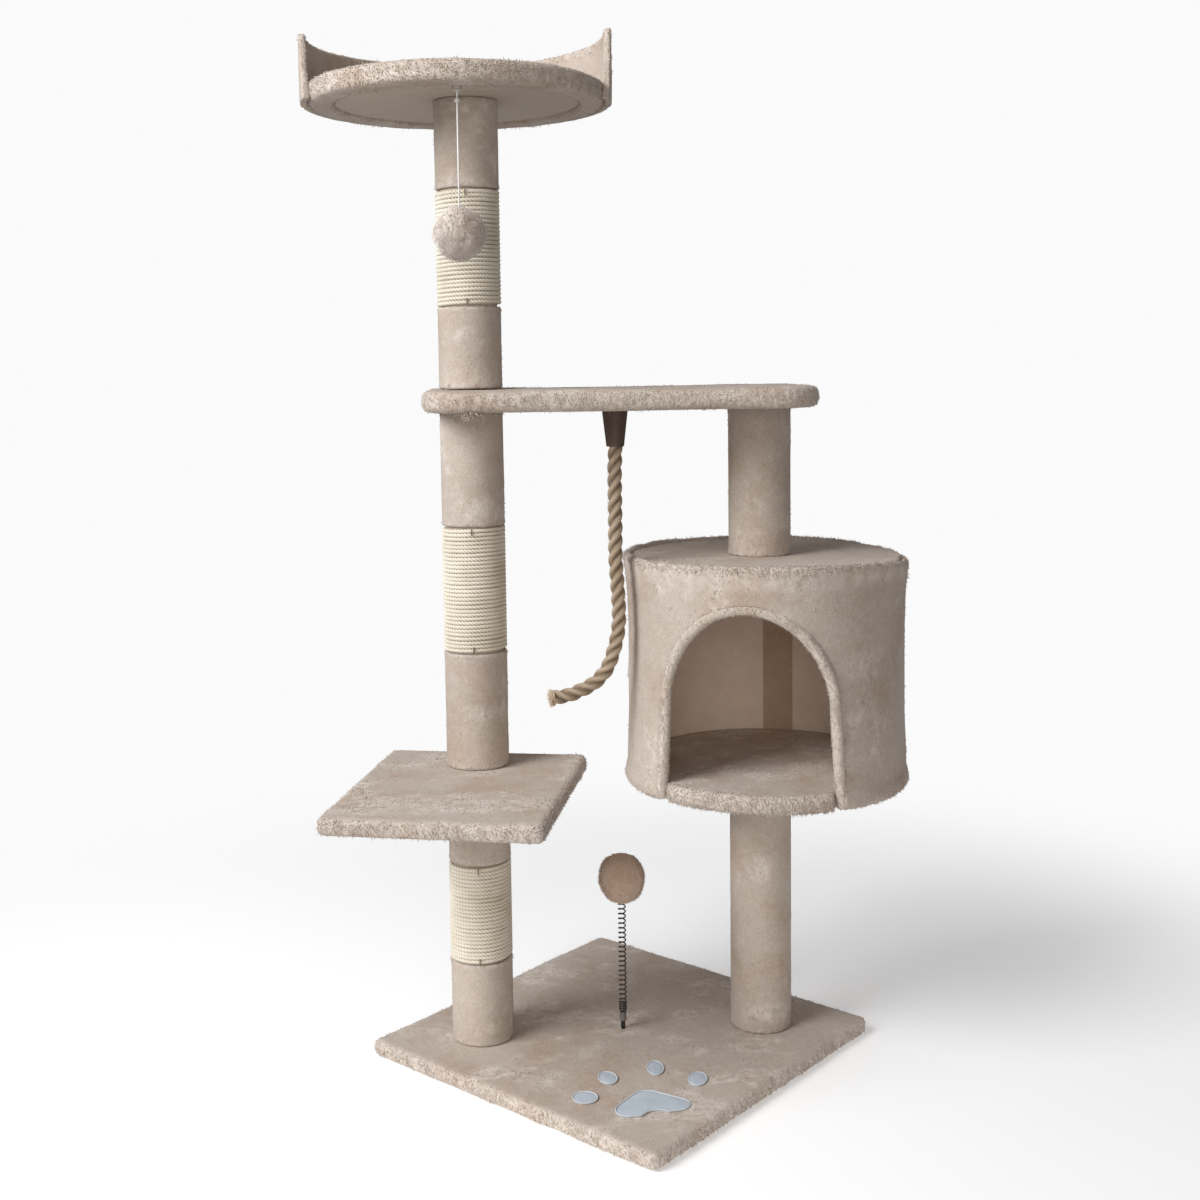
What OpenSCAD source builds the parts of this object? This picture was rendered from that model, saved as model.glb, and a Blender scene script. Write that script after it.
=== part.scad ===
// Cat tree: two plush posts on a square base, with a low shelf, a round condo,
// a cross plank, a round perch with two side wings, and three hanging or springy toys.
// Origin: centre of the base, on its underside. +X runs from the perch post to the
// condo post, -Y is the front (the condo's doorway and the paw), +Z is up.
// Every post, board and cover is a solid of its own; millimetres.

/* [Posts] */
// Outer diameter of a covered post
post_d = 70; // [64:1:76]
// Distance between the two post axes
post_spacing = 324; // [318:1:330]
// Thickness of the plush on a post
post_plush = 4; // [3:0.5:5]
// Wall of the cardboard tube in a post
tube_wall = 5; // [4:0.5:6]
// Thickness of the wooden plug in each end of a tube
plug_t = 20; // [18:1:26]

/* [Base] */
// Side of the square base, plush included
base_side = 408; // [396:1:420]
// Corner radius of the base
base_corner = 12; // [8:1:16]
// Thickness of every wooden board but the plank's
board_t = 12; // [12:0.5:14]
// Plush on the top and sides of a board
board_plush = 4; // [3:0.5:5]
// Plush folded under the base board
base_fold_t = 3.5; // [3:0.5:4]

/* [Shelf] */
// Width of the low shelf
shelf_w = 228; // [220:1:236]
// Depth of the low shelf
shelf_d = 278; // [270:1:286]
// Height of the shelf's top above the floor
shelf_top = 338.5; // [330:0.5:346]
// Turn of the shelf about its post, in degrees
shelf_turn = -13.5; // [-15:0.5:-10]
// Distance from the post's axis to the shelf's back edge
shelf_back = 54; // [50:1:58]

/* [Plank] */
// Length of the cross plank
plank_w = 429; // [424:1:434]
// Depth of the cross plank
plank_d = 216; // [200:1:220]
// Height of the plank's underside
plank_z = 737.5; // [734:0.5:742]
// Thickness of the covered plank
plank_t = 25.5; // [25:0.5:27]

/* [Condo] */
// Radius of the condo at its top and bottom edges
condo_r = 161; // [160:0.5:163]
// Radius of the condo at its waist
condo_waist_r = 155.5; // [155:0.5:157]
// Distance of the condo's axis past its post's axis
condo_shift = 6; // [4:0.5:6]
// Height of the condo's underside
condo_z = 313; // [310:0.5:316]
// Height of the roof that the upper post stands on
roof_top = 570.5; // [566:0.5:574]
// Top of the doorway
door_top = 524.5; // [520:0.5:528]
// Half the width of the doorway under its arch
door_half_w = 86; // [80:1:88]
// How far each side of the doorway spreads by 20 mm below the condo's underside
door_flare = 7; // [0:1:8]
// Direction that the doorway faces, in degrees from +X
door_turn = -109; // [-112:1:-106]

/* [Perch] */
// Radius of the perch's covered board
perch_r = 163; // [161:0.5:165]
// Height of the perch board's bare underside
perch_z = 1076; // [1070:0.5:1082]
// Height of the wings above the perch's underside
wing_h = 75; // [60:1:80]

/* [Toys] */
// Diameter of the three-strand rope
rope_d = 17.2; // [16.8:0.1:17.4]
// Diameter of the hanging pom-pom
pompom_d = 52; // [46:1:54]
// Outer diameter of the spring toy's coil
spring_d = 9.8; // [9.2:0.1:10.2]

/* [Hidden] */
$fn = 96;

// Small gaps between round pieces that fit together
gap = 0.1;
// A cut runs this far past the face that it opens
past = 1;

// Small holes for the wood screws that hold the toys
screw_hole_r = 2.2;

// Base: a black underlay fills the window inside the folded plush
base_top = base_fold_t + board_t + board_plush;
underlay_side = base_side - 28;
underlay_t = 1.5;
fold_w = 34;
left_x = -post_spacing / 2;
right_x = post_spacing / 2;
tube_r = post_d / 2 - post_plush;
bore_r = tube_r - tube_wall;

// Paw: each toe is [x, y, half width, half length, turn], each lobe of the pad [x, y, radius]
paw_t = 0.8;
paw_toes = [[-58, -166, 14.5, 14.5, 0], [-30, -124, 11, 15.5, 8], [24, -106, 10, 18, -4], [66, -136, 11, 17, -14]];
paw_lobes = [[-15, -197, 14], [7, -173, 16], [37, -190, 12.5]];
paw_notch = [13, -217, 17];

// Boards: each covered board is a fold below, the board and plush above
shelf_t = 20;
shelf_z = shelf_top - shelf_t;
shelf_board_z = shelf_z + (shelf_t - board_t) / 2;
shelf_corner = 12;
plank_board_t = 15;
plank_top = plank_z + plank_t;
plank_board_z = plank_z + (plank_t - plank_board_t) / 2;
plank_corner = 50;
plank_plush = 5;

// Condo: the wall panel stands round the edges of the floor and the roof
condo_x = right_x + condo_shift;
panel_r = 152;
panel_t = 3;
lining_t = 1;
disc_r = panel_r - panel_t - 0.2;
floor_board_z = condo_z + 3;
floor_top = floor_board_z + board_t + board_plush;
roof_board_z = roof_top - board_plush - board_t;
roof_fold_t = 3.5;
wall_z = condo_z + 1;
wall_top = roof_top + 3.5;
door_arch_h = 108;
binding_t = 12;
seam_w = 36;
seam_turn = 72.5;
hem_h = 16;
hem_slope_h = 39;

// Perch: the board is bare below, inside a ring of folded plush
perch_x = left_x - 9;
perch_y = 19;
perch_plush = 5;
perch_fold_t = 5;
perch_bare_r = 135;
perch_board_z = perch_z;
perch_top = perch_z + board_t + perch_plush;
wing_t = 8;
wing_panel_t = 3;
wing_r = perch_r + 0.3;
wing_z = perch_z - 2;
wing_front = -17;
wing_back = 61;
wing_slant = 22;
wing_panel_short = 3;
wing_panel_r = wing_r + (wing_t - wing_panel_t) / 2;
wing_screw_r = 1.6;
wing_screw_from = perch_r - 20;
wing_screw_z = perch_board_z + board_t / 2;
wing_screw_angles = [0, 24, 48];

// Fasteners: M8 bolts and studs, and the inserts that hold them
bolt_r = 4;
bolt_len = 37;
hole_r = 4.5;
head_r = 8;
head_t = 4;
washer_r = 11;
washer_t = 1.5;
sink_r = 12;
sink_t = 6;
insert_r = 7;
insert_len = 16;
stud_reach = 18;

// Post segments: the axis' x, the bottom and the top
seg_left_lower = [left_x, base_top, shelf_z];
seg_left_middle = [left_x, shelf_top, plank_z];
seg_left_upper = [left_x, plank_top, perch_z];
seg_right_lower = [right_x, base_top, condo_z];
seg_right_upper = [right_x, roof_top, plank_z];
segments = [seg_left_lower, seg_left_middle, seg_left_upper, seg_right_lower, seg_right_upper];

// Sisal bands: bottom, top and the number of turns of rope
band_lower = [114, 229, 25];
band_middle = [469, 611, 32];
band_upper = [852, 980, 29];
bands = [band_lower, band_middle, band_upper];
sisal_r = 35.4;
staple_turn = -94;

// Rope toy: a hollow cone under the plank, and a rope that curls at its end
rope_x = -6;
rope_y = -44;
rope_z = 698;
socket_r = 14.2;
mouth_r = 9.7;
socket_bore_r = 8.9;
socket_cap_t = 4;
rope_sides = 12;
rope_mouth_gap = 1.6;
rope_route = [
    [-6, rope_z - rope_mouth_gap], [-7, 670], [-7, 640], [-7, 606], [-7, 573], [-5, 540], [-4, 508], [-7, 484],
    [-15, 458], [-23, 445], [-34, 435], [-48, 428], [-62, 423], [-78, 421]
];

// Hanging toy: a staple in the perch board, a loop, a string and a pom-pom
string_x = perch_x;
string_y = -110;
staple_z = 1068;
staple_half_w = 4;
staple_wire_r = 0.7;
loop_r = 3.6;
loop_wire_r = 0.9;
loop_z = staple_z + staple_wire_r + gap - (loop_r - loop_wire_r);
string_r = 1;
string_z = loop_z - loop_r - loop_wire_r - 0.2;
pompom_z = 924;
string_end_z = pompom_z + pompom_d / 2 - 6;

// Spring toy: an anchor in the base, a collar, an open coil and an egg-shaped ball
anchor_r = 2.6;
anchor_top = 34;
collar_r = 4;
collar_z = 29;
spring_z = 39.5;
spring_top = 171;
spring_wire_r = 0.65;
spring_turns = 22;
spring_steps = 10;
spring_sides = 4;
ball_z = 197;
ball_half_w = 26;
ball_half_h = 30.5;

// ---------- shapes that repeat ----------

module ring(r_out, r_in, h) {
    difference() {
        cylinder(r = r_out, h = h);
        translate([0, 0, -past]) cylinder(r = r_in, h = h + 2 * past);
    }
}

module slab_outline(w, d, r) {
    square([w - 2 * r, d], center = true);
    square([w, d - 2 * r], center = true);
    for (x = [-1, 1], y = [-1, 1])
        translate([x * (w / 2 - r), y * (d / 2 - r)]) circle(r);
}

module slab(w, d, r, h) {
    linear_extrude(h) slab_outline(w, d, r);
}

function ellipse(a, b, steps = 24) =
    [for (i = [0 : steps - 1]) [a * cos(360 * i / steps), b * sin(360 * i / steps)]];

// A slab of plush with a board-sized hollow inside
module wrapped_cover(w, d, r, h, side_t, hollow_z, hollow_h) {
    difference() {
        slab(w, d, r, h);
        translate([0, 0, hollow_z]) slab(w - 2 * side_t, d - 2 * side_t, r - side_t, hollow_h);
    }
}

// Doorway outline: sides that spread towards the foot, under a half-elliptical arch, grown by g all round
module door_outline(g = 0) {
    half_w = door_half_w + g;
    arch_h = door_arch_h + g;
    spring_line = door_top - door_arch_h;
    arch = [for (i = [0 : 24]) [half_w * cos(7.5 * i), spring_line + arch_h * sin(7.5 * i)]];
    foot_w = half_w + door_flare;
    polygon(concat([[-foot_w, condo_z - 20], [foot_w, condo_z - 20]], arch));
}

// Cuts the doorway's outline out of the condo's wall, on the side that it faces
module door_cut(g = 0) {
    rotate([0, 0, door_turn])
        translate([60, 0, 0])
            rotate([90, 0, 90]) linear_extrude(150) door_outline(g);
}

// Points of a tube: a ring of points square to the route at each of its points
function route_step(route, i) = route[min(i + 1, len(route) - 1)] - route[max(i - 1, 0)];
function tube_points(route, y, r, sides) = [
    for (i = [0 : len(route) - 1])
        let (step = route_step(route, i), along = step / norm(step))
            for (k = [0 : sides - 1])
                let (a = 360 * k / sides)
                    [route[i][0] - r * cos(a) * along[1], y + r * sin(a), route[i][1] + r * cos(a) * along[0]]
];
function tube_faces(rings, sides) = concat(
    [[for (k = [0 : sides - 1]) k]],
    [for (i = [0 : rings - 2], k = [0 : sides - 1])
        let (n = (k + 1) % sides)
            [i * sides + k, (i + 1) * sides + k, (i + 1) * sides + n, i * sides + n]],
    [[for (k = [sides - 1 : -1 : 0]) (rings - 1) * sides + k]]
);
module tube(route, y, r, sides) {
    polyhedron(tube_points(route, y, r, sides), tube_faces(len(route), sides));
}

// ---------- posts ----------

module at_segment(seg) {
    translate([seg[0], 0, seg[1]]) children();
}

module cardboard_tube(seg) {
    color("tan") at_segment(seg) ring(tube_r, bore_r, seg[2] - seg[1]);
}

module sleeve(x, z0, z1) {
    color("antiquewhite") translate([x, 0, z0]) ring(post_d / 2, tube_r + gap, z1 - z0);
}

// Sisal rope wound side by side round the tube
module sisal_wrap(band) {
    pitch = (band[1] - band[0]) / band[2];
    turns = [
        for (i = [0 : band[2] - 1], p = [[sisal_r - 1.3, 0], [sisal_r, 0.3], [sisal_r, 0.7]])
            [p[0], band[0] + pitch * (i + p[1])]
    ];
    color("wheat") translate([left_x, 0, 0]) rotate_extrude()
        polygon(concat([[tube_r + gap, band[0]]], turns, [[sisal_r - 1.3, band[1]], [tube_r + gap, band[1]]]));
}

// A staple's crown on the first and last turn of each band
module sisal_staples() {
    color("dimgray") for (band = bands, z = [band[0] + 2, band[1] - 9])
        translate([left_x, 0, z]) rotate([0, 0, staple_turn])
            translate([sisal_r + 0.05, -0.6, 0]) cube([1, 1.2, 7]);
}

module post_end_plugs() {
    color("burlywood") for (seg = segments, z = [seg[1], seg[2] - plug_t])
        translate([seg[0], 0, z]) ring(bore_r - gap, insert_r + gap, plug_t);
}

module threaded_inserts() {
    color("silver") for (seg = segments, z = [seg[1], seg[2] - insert_len])
        translate([seg[0], 0, z]) ring(insert_r, bolt_r + 0.05, insert_len);
}

// ---------- fasteners ----------

// A bolt whose washer lies at height z; up is 1 for a bolt that points up, -1 for down
module bolt_at(x, z, up) {
    translate([x, 0, z]) mirror([0, 0, up > 0 ? 0 : 1]) children();
}

module each_bolt() {
    bolt_at(left_x, base_fold_t + sink_t, 1) children();
    bolt_at(right_x, base_fold_t + sink_t, 1) children();
    bolt_at(right_x, roof_board_z + sink_t, 1) children();
    bolt_at(right_x, floor_board_z + board_t - sink_t, -1) children();
    bolt_at(right_x, plank_board_z + plank_board_t - sink_t, -1) children();
    bolt_at(left_x, perch_board_z + board_t - sink_t, -1) children();
}

module post_bolts() {
    color("silver") each_bolt() {
        translate([0, 0, -washer_t - head_t]) cylinder(r = head_r, h = head_t);
        translate([0, 0, -washer_t - 0.5]) cylinder(r = bolt_r, h = bolt_len);
    }
}

module bolt_washers() {
    color("gainsboro") each_bolt() translate([0, 0, -washer_t]) ring(washer_r, hole_r, washer_t);
}

// Studs join the left post's segments through the shelf and the plank
module post_studs() {
    color("silver") for (span = [[shelf_z, shelf_top], [plank_z, plank_top]])
        translate([left_x, 0, span[0] - stud_reach + 2])
            cylinder(r = bolt_r, h = span[1] - span[0] + 2 * stud_reach - 4);
}

// The hole for one bolt, with the sink for its head on the side it comes from
module bolt_hole(x, z, up) {
    bolt_at(x, z, up) {
        translate([0, 0, -100]) cylinder(r = hole_r, h = 200);
        translate([0, 0, -sink_t - past]) cylinder(r = sink_r, h = sink_t + past);
    }
}

module plain_hole(x, z, h) {
    translate([x, 0, z - past]) cylinder(r = hole_r, h = h + 2 * past);
}

// ---------- base ----------

module base_underlay() {
    color("black") rotate([0, 0, 45]) slab(underlay_side, underlay_side, base_corner - 4, underlay_t);
}

module base_board() {
    side = base_side - 2 * board_plush;
    color("burlywood") difference() {
        rotate([0, 0, 45]) translate([0, 0, base_fold_t])
            slab(side, side, base_corner - board_plush, board_t);
        for (x = [left_x, right_x]) bolt_hole(x, base_fold_t + sink_t, 1);
        cylinder(r = screw_hole_r, h = base_top);
    }
}

module base_cover() {
    window = base_side - 2 * fold_w;
    color("antiquewhite") difference() {
        rotate([0, 0, 45]) difference() {
            wrapped_cover(base_side, base_side, base_corner, base_top, board_plush, base_fold_t, board_t);
            translate([0, 0, -past]) slab(window, window, 6, base_fold_t + 2 * past);
            translate([0, 0, -past])
                slab(underlay_side + 1, underlay_side + 1, base_corner - 4, underlay_t + past + gap);
        }
        for (x = [left_x, right_x]) plain_hole(x, 0, base_top);
        cylinder(r = screw_hole_r, h = base_top + past);
    }
}

// Four toes and a three-lobed pad of felt, sewn on the front corner
module paw_applique() {
    color("lightsteelblue") translate([0, 0, base_top]) linear_extrude(paw_t) {
        for (toe = paw_toes) translate([toe[0], toe[1]]) rotate(toe[4]) polygon(ellipse(toe[2], toe[3]));
        difference() {
            hull() for (lobe = paw_lobes) translate([lobe[0], lobe[1]]) circle(lobe[2], $fn = 32);
            translate([paw_notch[0], paw_notch[1]]) circle(paw_notch[2], $fn = 32);
        }
    }
}

// ---------- shelf and plank ----------

module at_shelf() {
    translate([left_x, 0, 0]) rotate([0, 0, shelf_turn]) translate([0, shelf_back - shelf_d / 2, 0]) children();
}

module shelf_board() {
    color("burlywood") difference() {
        at_shelf() translate([0, 0, shelf_board_z])
            slab(shelf_w - 2 * board_plush, shelf_d - 2 * board_plush, shelf_corner - board_plush, board_t);
        plain_hole(left_x, shelf_z, shelf_t);
    }
}

module shelf_cover() {
    color("antiquewhite") difference() {
        at_shelf() translate([0, 0, shelf_z])
            wrapped_cover(shelf_w, shelf_d, shelf_corner, shelf_t, board_plush, shelf_board_z - shelf_z, board_t);
        plain_hole(left_x, shelf_z, shelf_t);
    }
}

module socket_screw_hole() {
    translate([rope_x, rope_y, plank_z - past]) cylinder(r = screw_hole_r, h = 15);
}

module plank_board() {
    color("burlywood") difference() {
        translate([0, 0, plank_board_z])
            slab(plank_w - 2 * plank_plush, plank_d - 2 * plank_plush, plank_corner - plank_plush, plank_board_t);
        bolt_hole(right_x, plank_board_z + plank_board_t - sink_t, -1);
        plain_hole(left_x, plank_z, plank_t);
        socket_screw_hole();
    }
}

module plank_cover() {
    color("antiquewhite") difference() {
        translate([0, 0, plank_z]) wrapped_cover(
            plank_w, plank_d, plank_corner, plank_t, plank_plush, plank_board_z - plank_z, plank_board_t
        );
        plain_hole(right_x, plank_z, plank_board_z - plank_z);
        plain_hole(left_x, plank_z, plank_t);
        socket_screw_hole();
    }
}

// ---------- condo ----------

module at_condo() {
    translate([condo_x, 0, 0]) children();
}

// A ring round the condo's axis between two heights
module condo_ring(r_out, r_in, z0, z1) {
    translate([0, 0, z0]) ring(r_out, r_in, z1 - z0);
}

module condo_disc_board(z) {
    translate([condo_x, 0, z]) cylinder(r = disc_r - board_plush, h = board_t);
}

module condo_floor_board() {
    color("burlywood") difference() {
        condo_disc_board(floor_board_z);
        bolt_hole(right_x, floor_board_z + board_t - sink_t, -1);
    }
}

// The floor's plush rolls over the board's edge and fills the sill of the doorway
module condo_floor_cover() {
    sill_half_w = door_half_w + 2;
    color("antiquewhite") difference() {
        union() {
            translate([condo_x, 0, condo_z]) cylinder(r = disc_r, h = floor_top - condo_z);
            intersection() {
                translate([condo_x, 0, condo_z]) cylinder(r = condo_r - 2, h = floor_top - condo_z);
                at_condo() rotate([0, 0, door_turn]) translate([100, -sill_half_w, condo_z])
                    cube([80, 2 * sill_half_w, 50]);
            }
        }
        translate([condo_x, 0, floor_board_z]) cylinder(r = disc_r - board_plush, h = board_t);
        plain_hole(right_x, condo_z, floor_board_z - condo_z);
    }
}

module condo_roof_board() {
    color("burlywood") difference() {
        condo_disc_board(roof_board_z);
        bolt_hole(right_x, roof_board_z + sink_t, 1);
    }
}

module condo_roof_cover() {
    bottom = roof_board_z - roof_fold_t;
    color("antiquewhite") difference() {
        translate([condo_x, 0, bottom]) cylinder(r = disc_r, h = roof_top - bottom);
        translate([condo_x, 0, roof_board_z]) cylinder(r = disc_r - board_plush, h = board_t);
        translate([condo_x, 0, bottom - past]) cylinder(r = disc_r - 26, h = roof_fold_t + 2 * past);
        plain_hole(right_x, roof_board_z + board_t, board_plush);
    }
}

module condo_wall_panel() {
    color("tan") at_condo() difference() {
        condo_ring(panel_r, panel_r - panel_t, wall_z, roof_top - 2);
        door_cut(binding_t);
    }
}

// The wall's plush is thick at its top and bottom hems and thin at the waist
module condo_wall_plush() {
    mid = (condo_z + wall_top) / 2;
    inner = panel_r + gap;
    outer = [
        [inner, condo_z], [condo_r - 3, condo_z], [condo_r, condo_z + 5], [condo_r, condo_z + hem_h],
        [condo_waist_r + 1.5, condo_z + hem_h + hem_slope_h], [condo_waist_r, mid],
        [condo_waist_r + 1, wall_top - hem_h - hem_slope_h], [condo_r, wall_top - hem_h],
        [condo_r, wall_top - 3], [condo_r - 4, wall_top], [inner, wall_top]
    ];
    color("antiquewhite") at_condo() difference() {
        rotate_extrude() polygon(outer);
        door_cut(binding_t);
    }
}

module condo_wall_lining() {
    r = panel_r - panel_t - gap;
    color("linen") at_condo() difference() {
        condo_ring(r, r - lining_t, floor_top + gap, roof_board_z - roof_fold_t - gap);
        door_cut(binding_t);
    }
}

// A strip of tape over the joint in the wall, on the back of the inside
module condo_lining_seam() {
    r = panel_r - panel_t - lining_t - 0.3;
    color("rosybrown") at_condo() rotate([0, 0, seam_turn]) intersection() {
        condo_ring(r, r - 0.8, floor_top + gap, roof_board_z - roof_fold_t - 1);
        translate([100, -seam_w / 2, floor_top]) cube([100, seam_w, 300]);
    }
}

// Rolled plush round the edge of the doorway; its feet stand against the floor's edge
module condo_door_binding() {
    color("antiquewhite") at_condo() difference() {
        intersection() {
            condo_ring(panel_r + 6, panel_r - 7, wall_z, door_top + binding_t);
            door_cut(binding_t - 0.2);
        }
        door_cut(0);
        translate([0, 0, condo_z]) cylinder(r = disc_r + gap, h = floor_top - condo_z + gap);
    }
}

// ---------- perch ----------

module at_perch() {
    translate([perch_x, perch_y, 0]) children();
}

// Places its children on each wing's screws: side 0 is the right wing, 1 the left one
module each_wing_screw() {
    at_perch() for (side = [0, 1], a = wing_screw_angles)
        mirror([side, 0, 0]) rotate([0, 0, a]) translate([0, 0, wing_screw_z]) rotate([0, 90, 0]) children();
}

module wing_screws() {
    color("silver") each_wing_screw() {
        head_at = wing_panel_r + wing_panel_t;
        translate([0, 0, wing_screw_from]) cylinder(r = wing_screw_r, h = head_at - wing_screw_from);
        translate([0, 0, head_at]) cylinder(r = 3.5, h = 1.2);
    }
}

module wing_screw_holes() {
    each_wing_screw() {
        translate([0, 0, wing_screw_from - 0.5]) cylinder(r = wing_screw_r + gap, h = 30);
        translate([0, 0, wing_panel_r + wing_panel_t]) cylinder(r = 3.6, h = 1.3);
    }
}

module perch_board() {
    color("burlywood") difference() {
        at_perch() translate([0, 0, perch_board_z]) cylinder(r = perch_r - perch_plush, h = board_t);
        bolt_hole(left_x, perch_board_z + board_t - sink_t, -1);
        wing_screw_holes();
        string_staple_wire();
    }
}

module perch_cover() {
    fold_z = perch_z - perch_fold_t;
    color("antiquewhite") difference() {
        at_perch() difference() {
            translate([0, 0, fold_z]) cylinder(r = perch_r, h = perch_top - fold_z);
            translate([0, 0, perch_board_z]) cylinder(r = perch_r - perch_plush, h = board_t);
            translate([0, 0, fold_z - past]) cylinder(r = perch_bare_r, h = perch_fold_t + 2 * past);
        }
        wing_screw_holes();
    }
}

// One wing: an upright arc from its slanted front end to its back end, cut short by ends
// degrees at both. The arc starts spare degrees early, and a slanted block cuts its front end
module wing_arc(r, t, z0, z1, ends) {
    spare = 4;
    cut_low = wing_z - 2 * past;
    cut_high = wing_z + wing_h + past;
    front_y = wing_r * sin(wing_front) + wing_r * ends * PI / 180;
    difference() {
        rotate([0, 0, wing_front - spare]) rotate_extrude(angle = wing_back - ends - wing_front + spare)
            translate([r, z0]) square([t, z1 - z0]);
        rotate([90, 0, 90]) linear_extrude(r + 2 * t) polygon([
            [-wing_r, cut_low], [front_y, cut_low], [front_y + wing_slant, cut_high], [-wing_r, cut_high]
        ]);
    }
}

module wing_panel(side) {
    color("tan") difference() {
        at_perch() mirror([side, 0, 0])
            wing_arc(wing_panel_r, wing_panel_t, wing_z, wing_z + wing_h - wing_panel_short, 1.2);
        wing_screw_holes();
    }
}

module wing_cover(side) {
    hollow_z = wing_z - past;
    hollow_top = wing_z + wing_h - wing_panel_short;
    color("antiquewhite") difference() {
        at_perch() mirror([side, 0, 0]) difference() {
            wing_arc(wing_r, wing_t, wing_z, wing_z + wing_h, 0);
            wing_arc(wing_panel_r - gap / 2, wing_panel_t + gap, hollow_z, hollow_top, 1.1);
        }
        wing_screw_holes();
    }
}

module wing_panel_left() {
    wing_panel(1);
}
module wing_panel_right() {
    wing_panel(0);
}
module wing_cover_left() {
    wing_cover(1);
}
module wing_cover_right() {
    wing_cover(0);
}

// ---------- rope toy ----------

module rope_socket() {
    color("dimgray") translate([rope_x, rope_y, 0]) difference() {
        translate([0, 0, rope_z]) cylinder(r1 = mouth_r, r2 = socket_r, h = plank_z - rope_z);
        translate([0, 0, rope_z - past]) cylinder(r = socket_bore_r, h = plank_z - rope_z - socket_cap_t + past);
        translate([0, 0, rope_z]) cylinder(r = screw_hole_r, h = plank_z);
    }
}

module rope_socket_screw() {
    cap_z = plank_z - socket_cap_t;
    color("silver") translate([rope_x, rope_y, 0]) {
        translate([0, 0, cap_z - 2.5]) cylinder(r = 4, h = 2.5);
        translate([0, 0, cap_z - 1]) cylinder(r = 2, h = 16);
    }
}

module rope() {
    color("tan") tube(rope_route, rope_y, rope_d / 2, rope_sides);
}

// ---------- hanging pom-pom ----------

module string_staple_wire() {
    translate([string_x, string_y, 0]) {
        for (x = [-staple_half_w, staple_half_w])
            translate([x, 0, staple_z]) cylinder(r = staple_wire_r, h = 16);
        translate([-staple_half_w, 0, staple_z]) rotate([0, 90, 0])
            cylinder(r = staple_wire_r, h = 2 * staple_half_w);
        for (x = [-staple_half_w, staple_half_w]) translate([x, 0, staple_z]) sphere(staple_wire_r);
    }
}

module string_staple() {
    color("silver") string_staple_wire();
}

module string_loop() {
    color("white") translate([string_x, string_y, loop_z]) rotate([0, 90, 0])
        rotate_extrude() translate([loop_r, 0]) circle(loop_wire_r);
}

module pompom_string() {
    route = [for (i = [0 : 5]) [string_x, string_z + (string_end_z - string_z) * i / 5]];
    color("white") tube(route, string_y, string_r, 8);
}

module pompom() {
    color("bisque") translate([string_x, string_y, 0]) difference() {
        translate([0, 0, pompom_z]) sphere(pompom_d / 2);
        translate([0, 0, string_end_z]) cylinder(r = string_r + 0.2, h = 20);
    }
}

// ---------- spring toy ----------

module spring_anchor() {
    color("black") {
        translate([0, 0, base_fold_t + 1]) cylinder(r = 2, h = base_top - base_fold_t);
        translate([0, 0, base_top]) cylinder(r = anchor_r, h = anchor_top - base_top);
    }
}

module spring_collar() {
    color("gray") translate([0, 0, collar_z]) ring(collar_r, anchor_r + gap, 10);
}

// The coil, swept as a square wire round a helix
module toy_spring() {
    r = spring_d / 2 - spring_wire_r;
    count = spring_turns * spring_steps;
    height = spring_top - spring_z - 2 * spring_wire_r;
    points = [
        for (i = [0 : count], k = [0 : spring_sides - 1])
            let (a = 360 * i / spring_steps, b = 360 * (k + 0.5) / spring_sides,
                 out = r + spring_wire_r * cos(b))
                [out * cos(a), out * sin(a),
                 spring_z + spring_wire_r + height * i / count + spring_wire_r * sin(b)]
    ];
    faces = concat(
        [[for (k = [0 : spring_sides - 1]) k]],
        [for (i = [0 : count - 1], k = [0 : spring_sides - 1])
            let (n = (k + 1) % spring_sides, at = i * spring_sides, next = at + spring_sides)
                each [[at + k, next + k, next + n], [at + k, next + n, at + n]]],
        [[for (k = [spring_sides - 1 : -1 : 0]) count * spring_sides + k]]
    );
    color("gray") polyhedron(points, faces);
}

module toy_ball() {
    half = [for (i = [-12 : 12]) [ball_half_w * cos(7.5 * i), ball_z + ball_half_h * sin(7.5 * i)]];
    color("tan") difference() {
        rotate_extrude() polygon(concat(
            [[0, ball_z - ball_half_h]],
            [for (i = [1 : 23]) half[i]],
            [[0, ball_z + ball_half_h]]
        ));
        translate([0, 0, ball_z - ball_half_h - past])
            cylinder(r = spring_d / 2 + 0.4, h = spring_top - ball_z + ball_half_h + past + 0.5);
    }
}

// ---------- nodes ----------

base_underlay();
base_board();
base_cover();
paw_applique();
cardboard_tube(seg_left_lower);  // tube_left_lower
cardboard_tube(seg_left_middle);  // tube_left_middle
cardboard_tube(seg_left_upper);  // tube_left_upper
cardboard_tube(seg_right_lower);  // tube_right_lower
cardboard_tube(seg_right_upper);  // tube_right_upper
post_end_plugs();
threaded_inserts();
sleeve(left_x, base_top, band_lower[0]);  // sleeve_left_lower_bottom
sleeve(left_x, band_lower[1], shelf_z);  // sleeve_left_lower_top
sleeve(left_x, shelf_top, band_middle[0]);  // sleeve_left_middle_bottom
sleeve(left_x, band_middle[1], plank_z);  // sleeve_left_middle_top
sleeve(left_x, plank_top, band_upper[0]);  // sleeve_left_upper_bottom
sleeve(left_x, band_upper[1], perch_z);  // sleeve_left_upper_top
sleeve(right_x, base_top, condo_z);  // sleeve_right_lower
sleeve(right_x, roof_top, plank_z);  // sleeve_right_upper
sisal_wrap(band_lower);  // sisal_wrap_lower
sisal_wrap(band_middle);  // sisal_wrap_middle
sisal_wrap(band_upper);  // sisal_wrap_upper
sisal_staples();
post_bolts();
bolt_washers();
post_studs();
shelf_board();
shelf_cover();
plank_board();
plank_cover();
condo_floor_board();
condo_floor_cover();
condo_roof_board();
condo_roof_cover();
condo_wall_panel();
condo_wall_plush();
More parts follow.
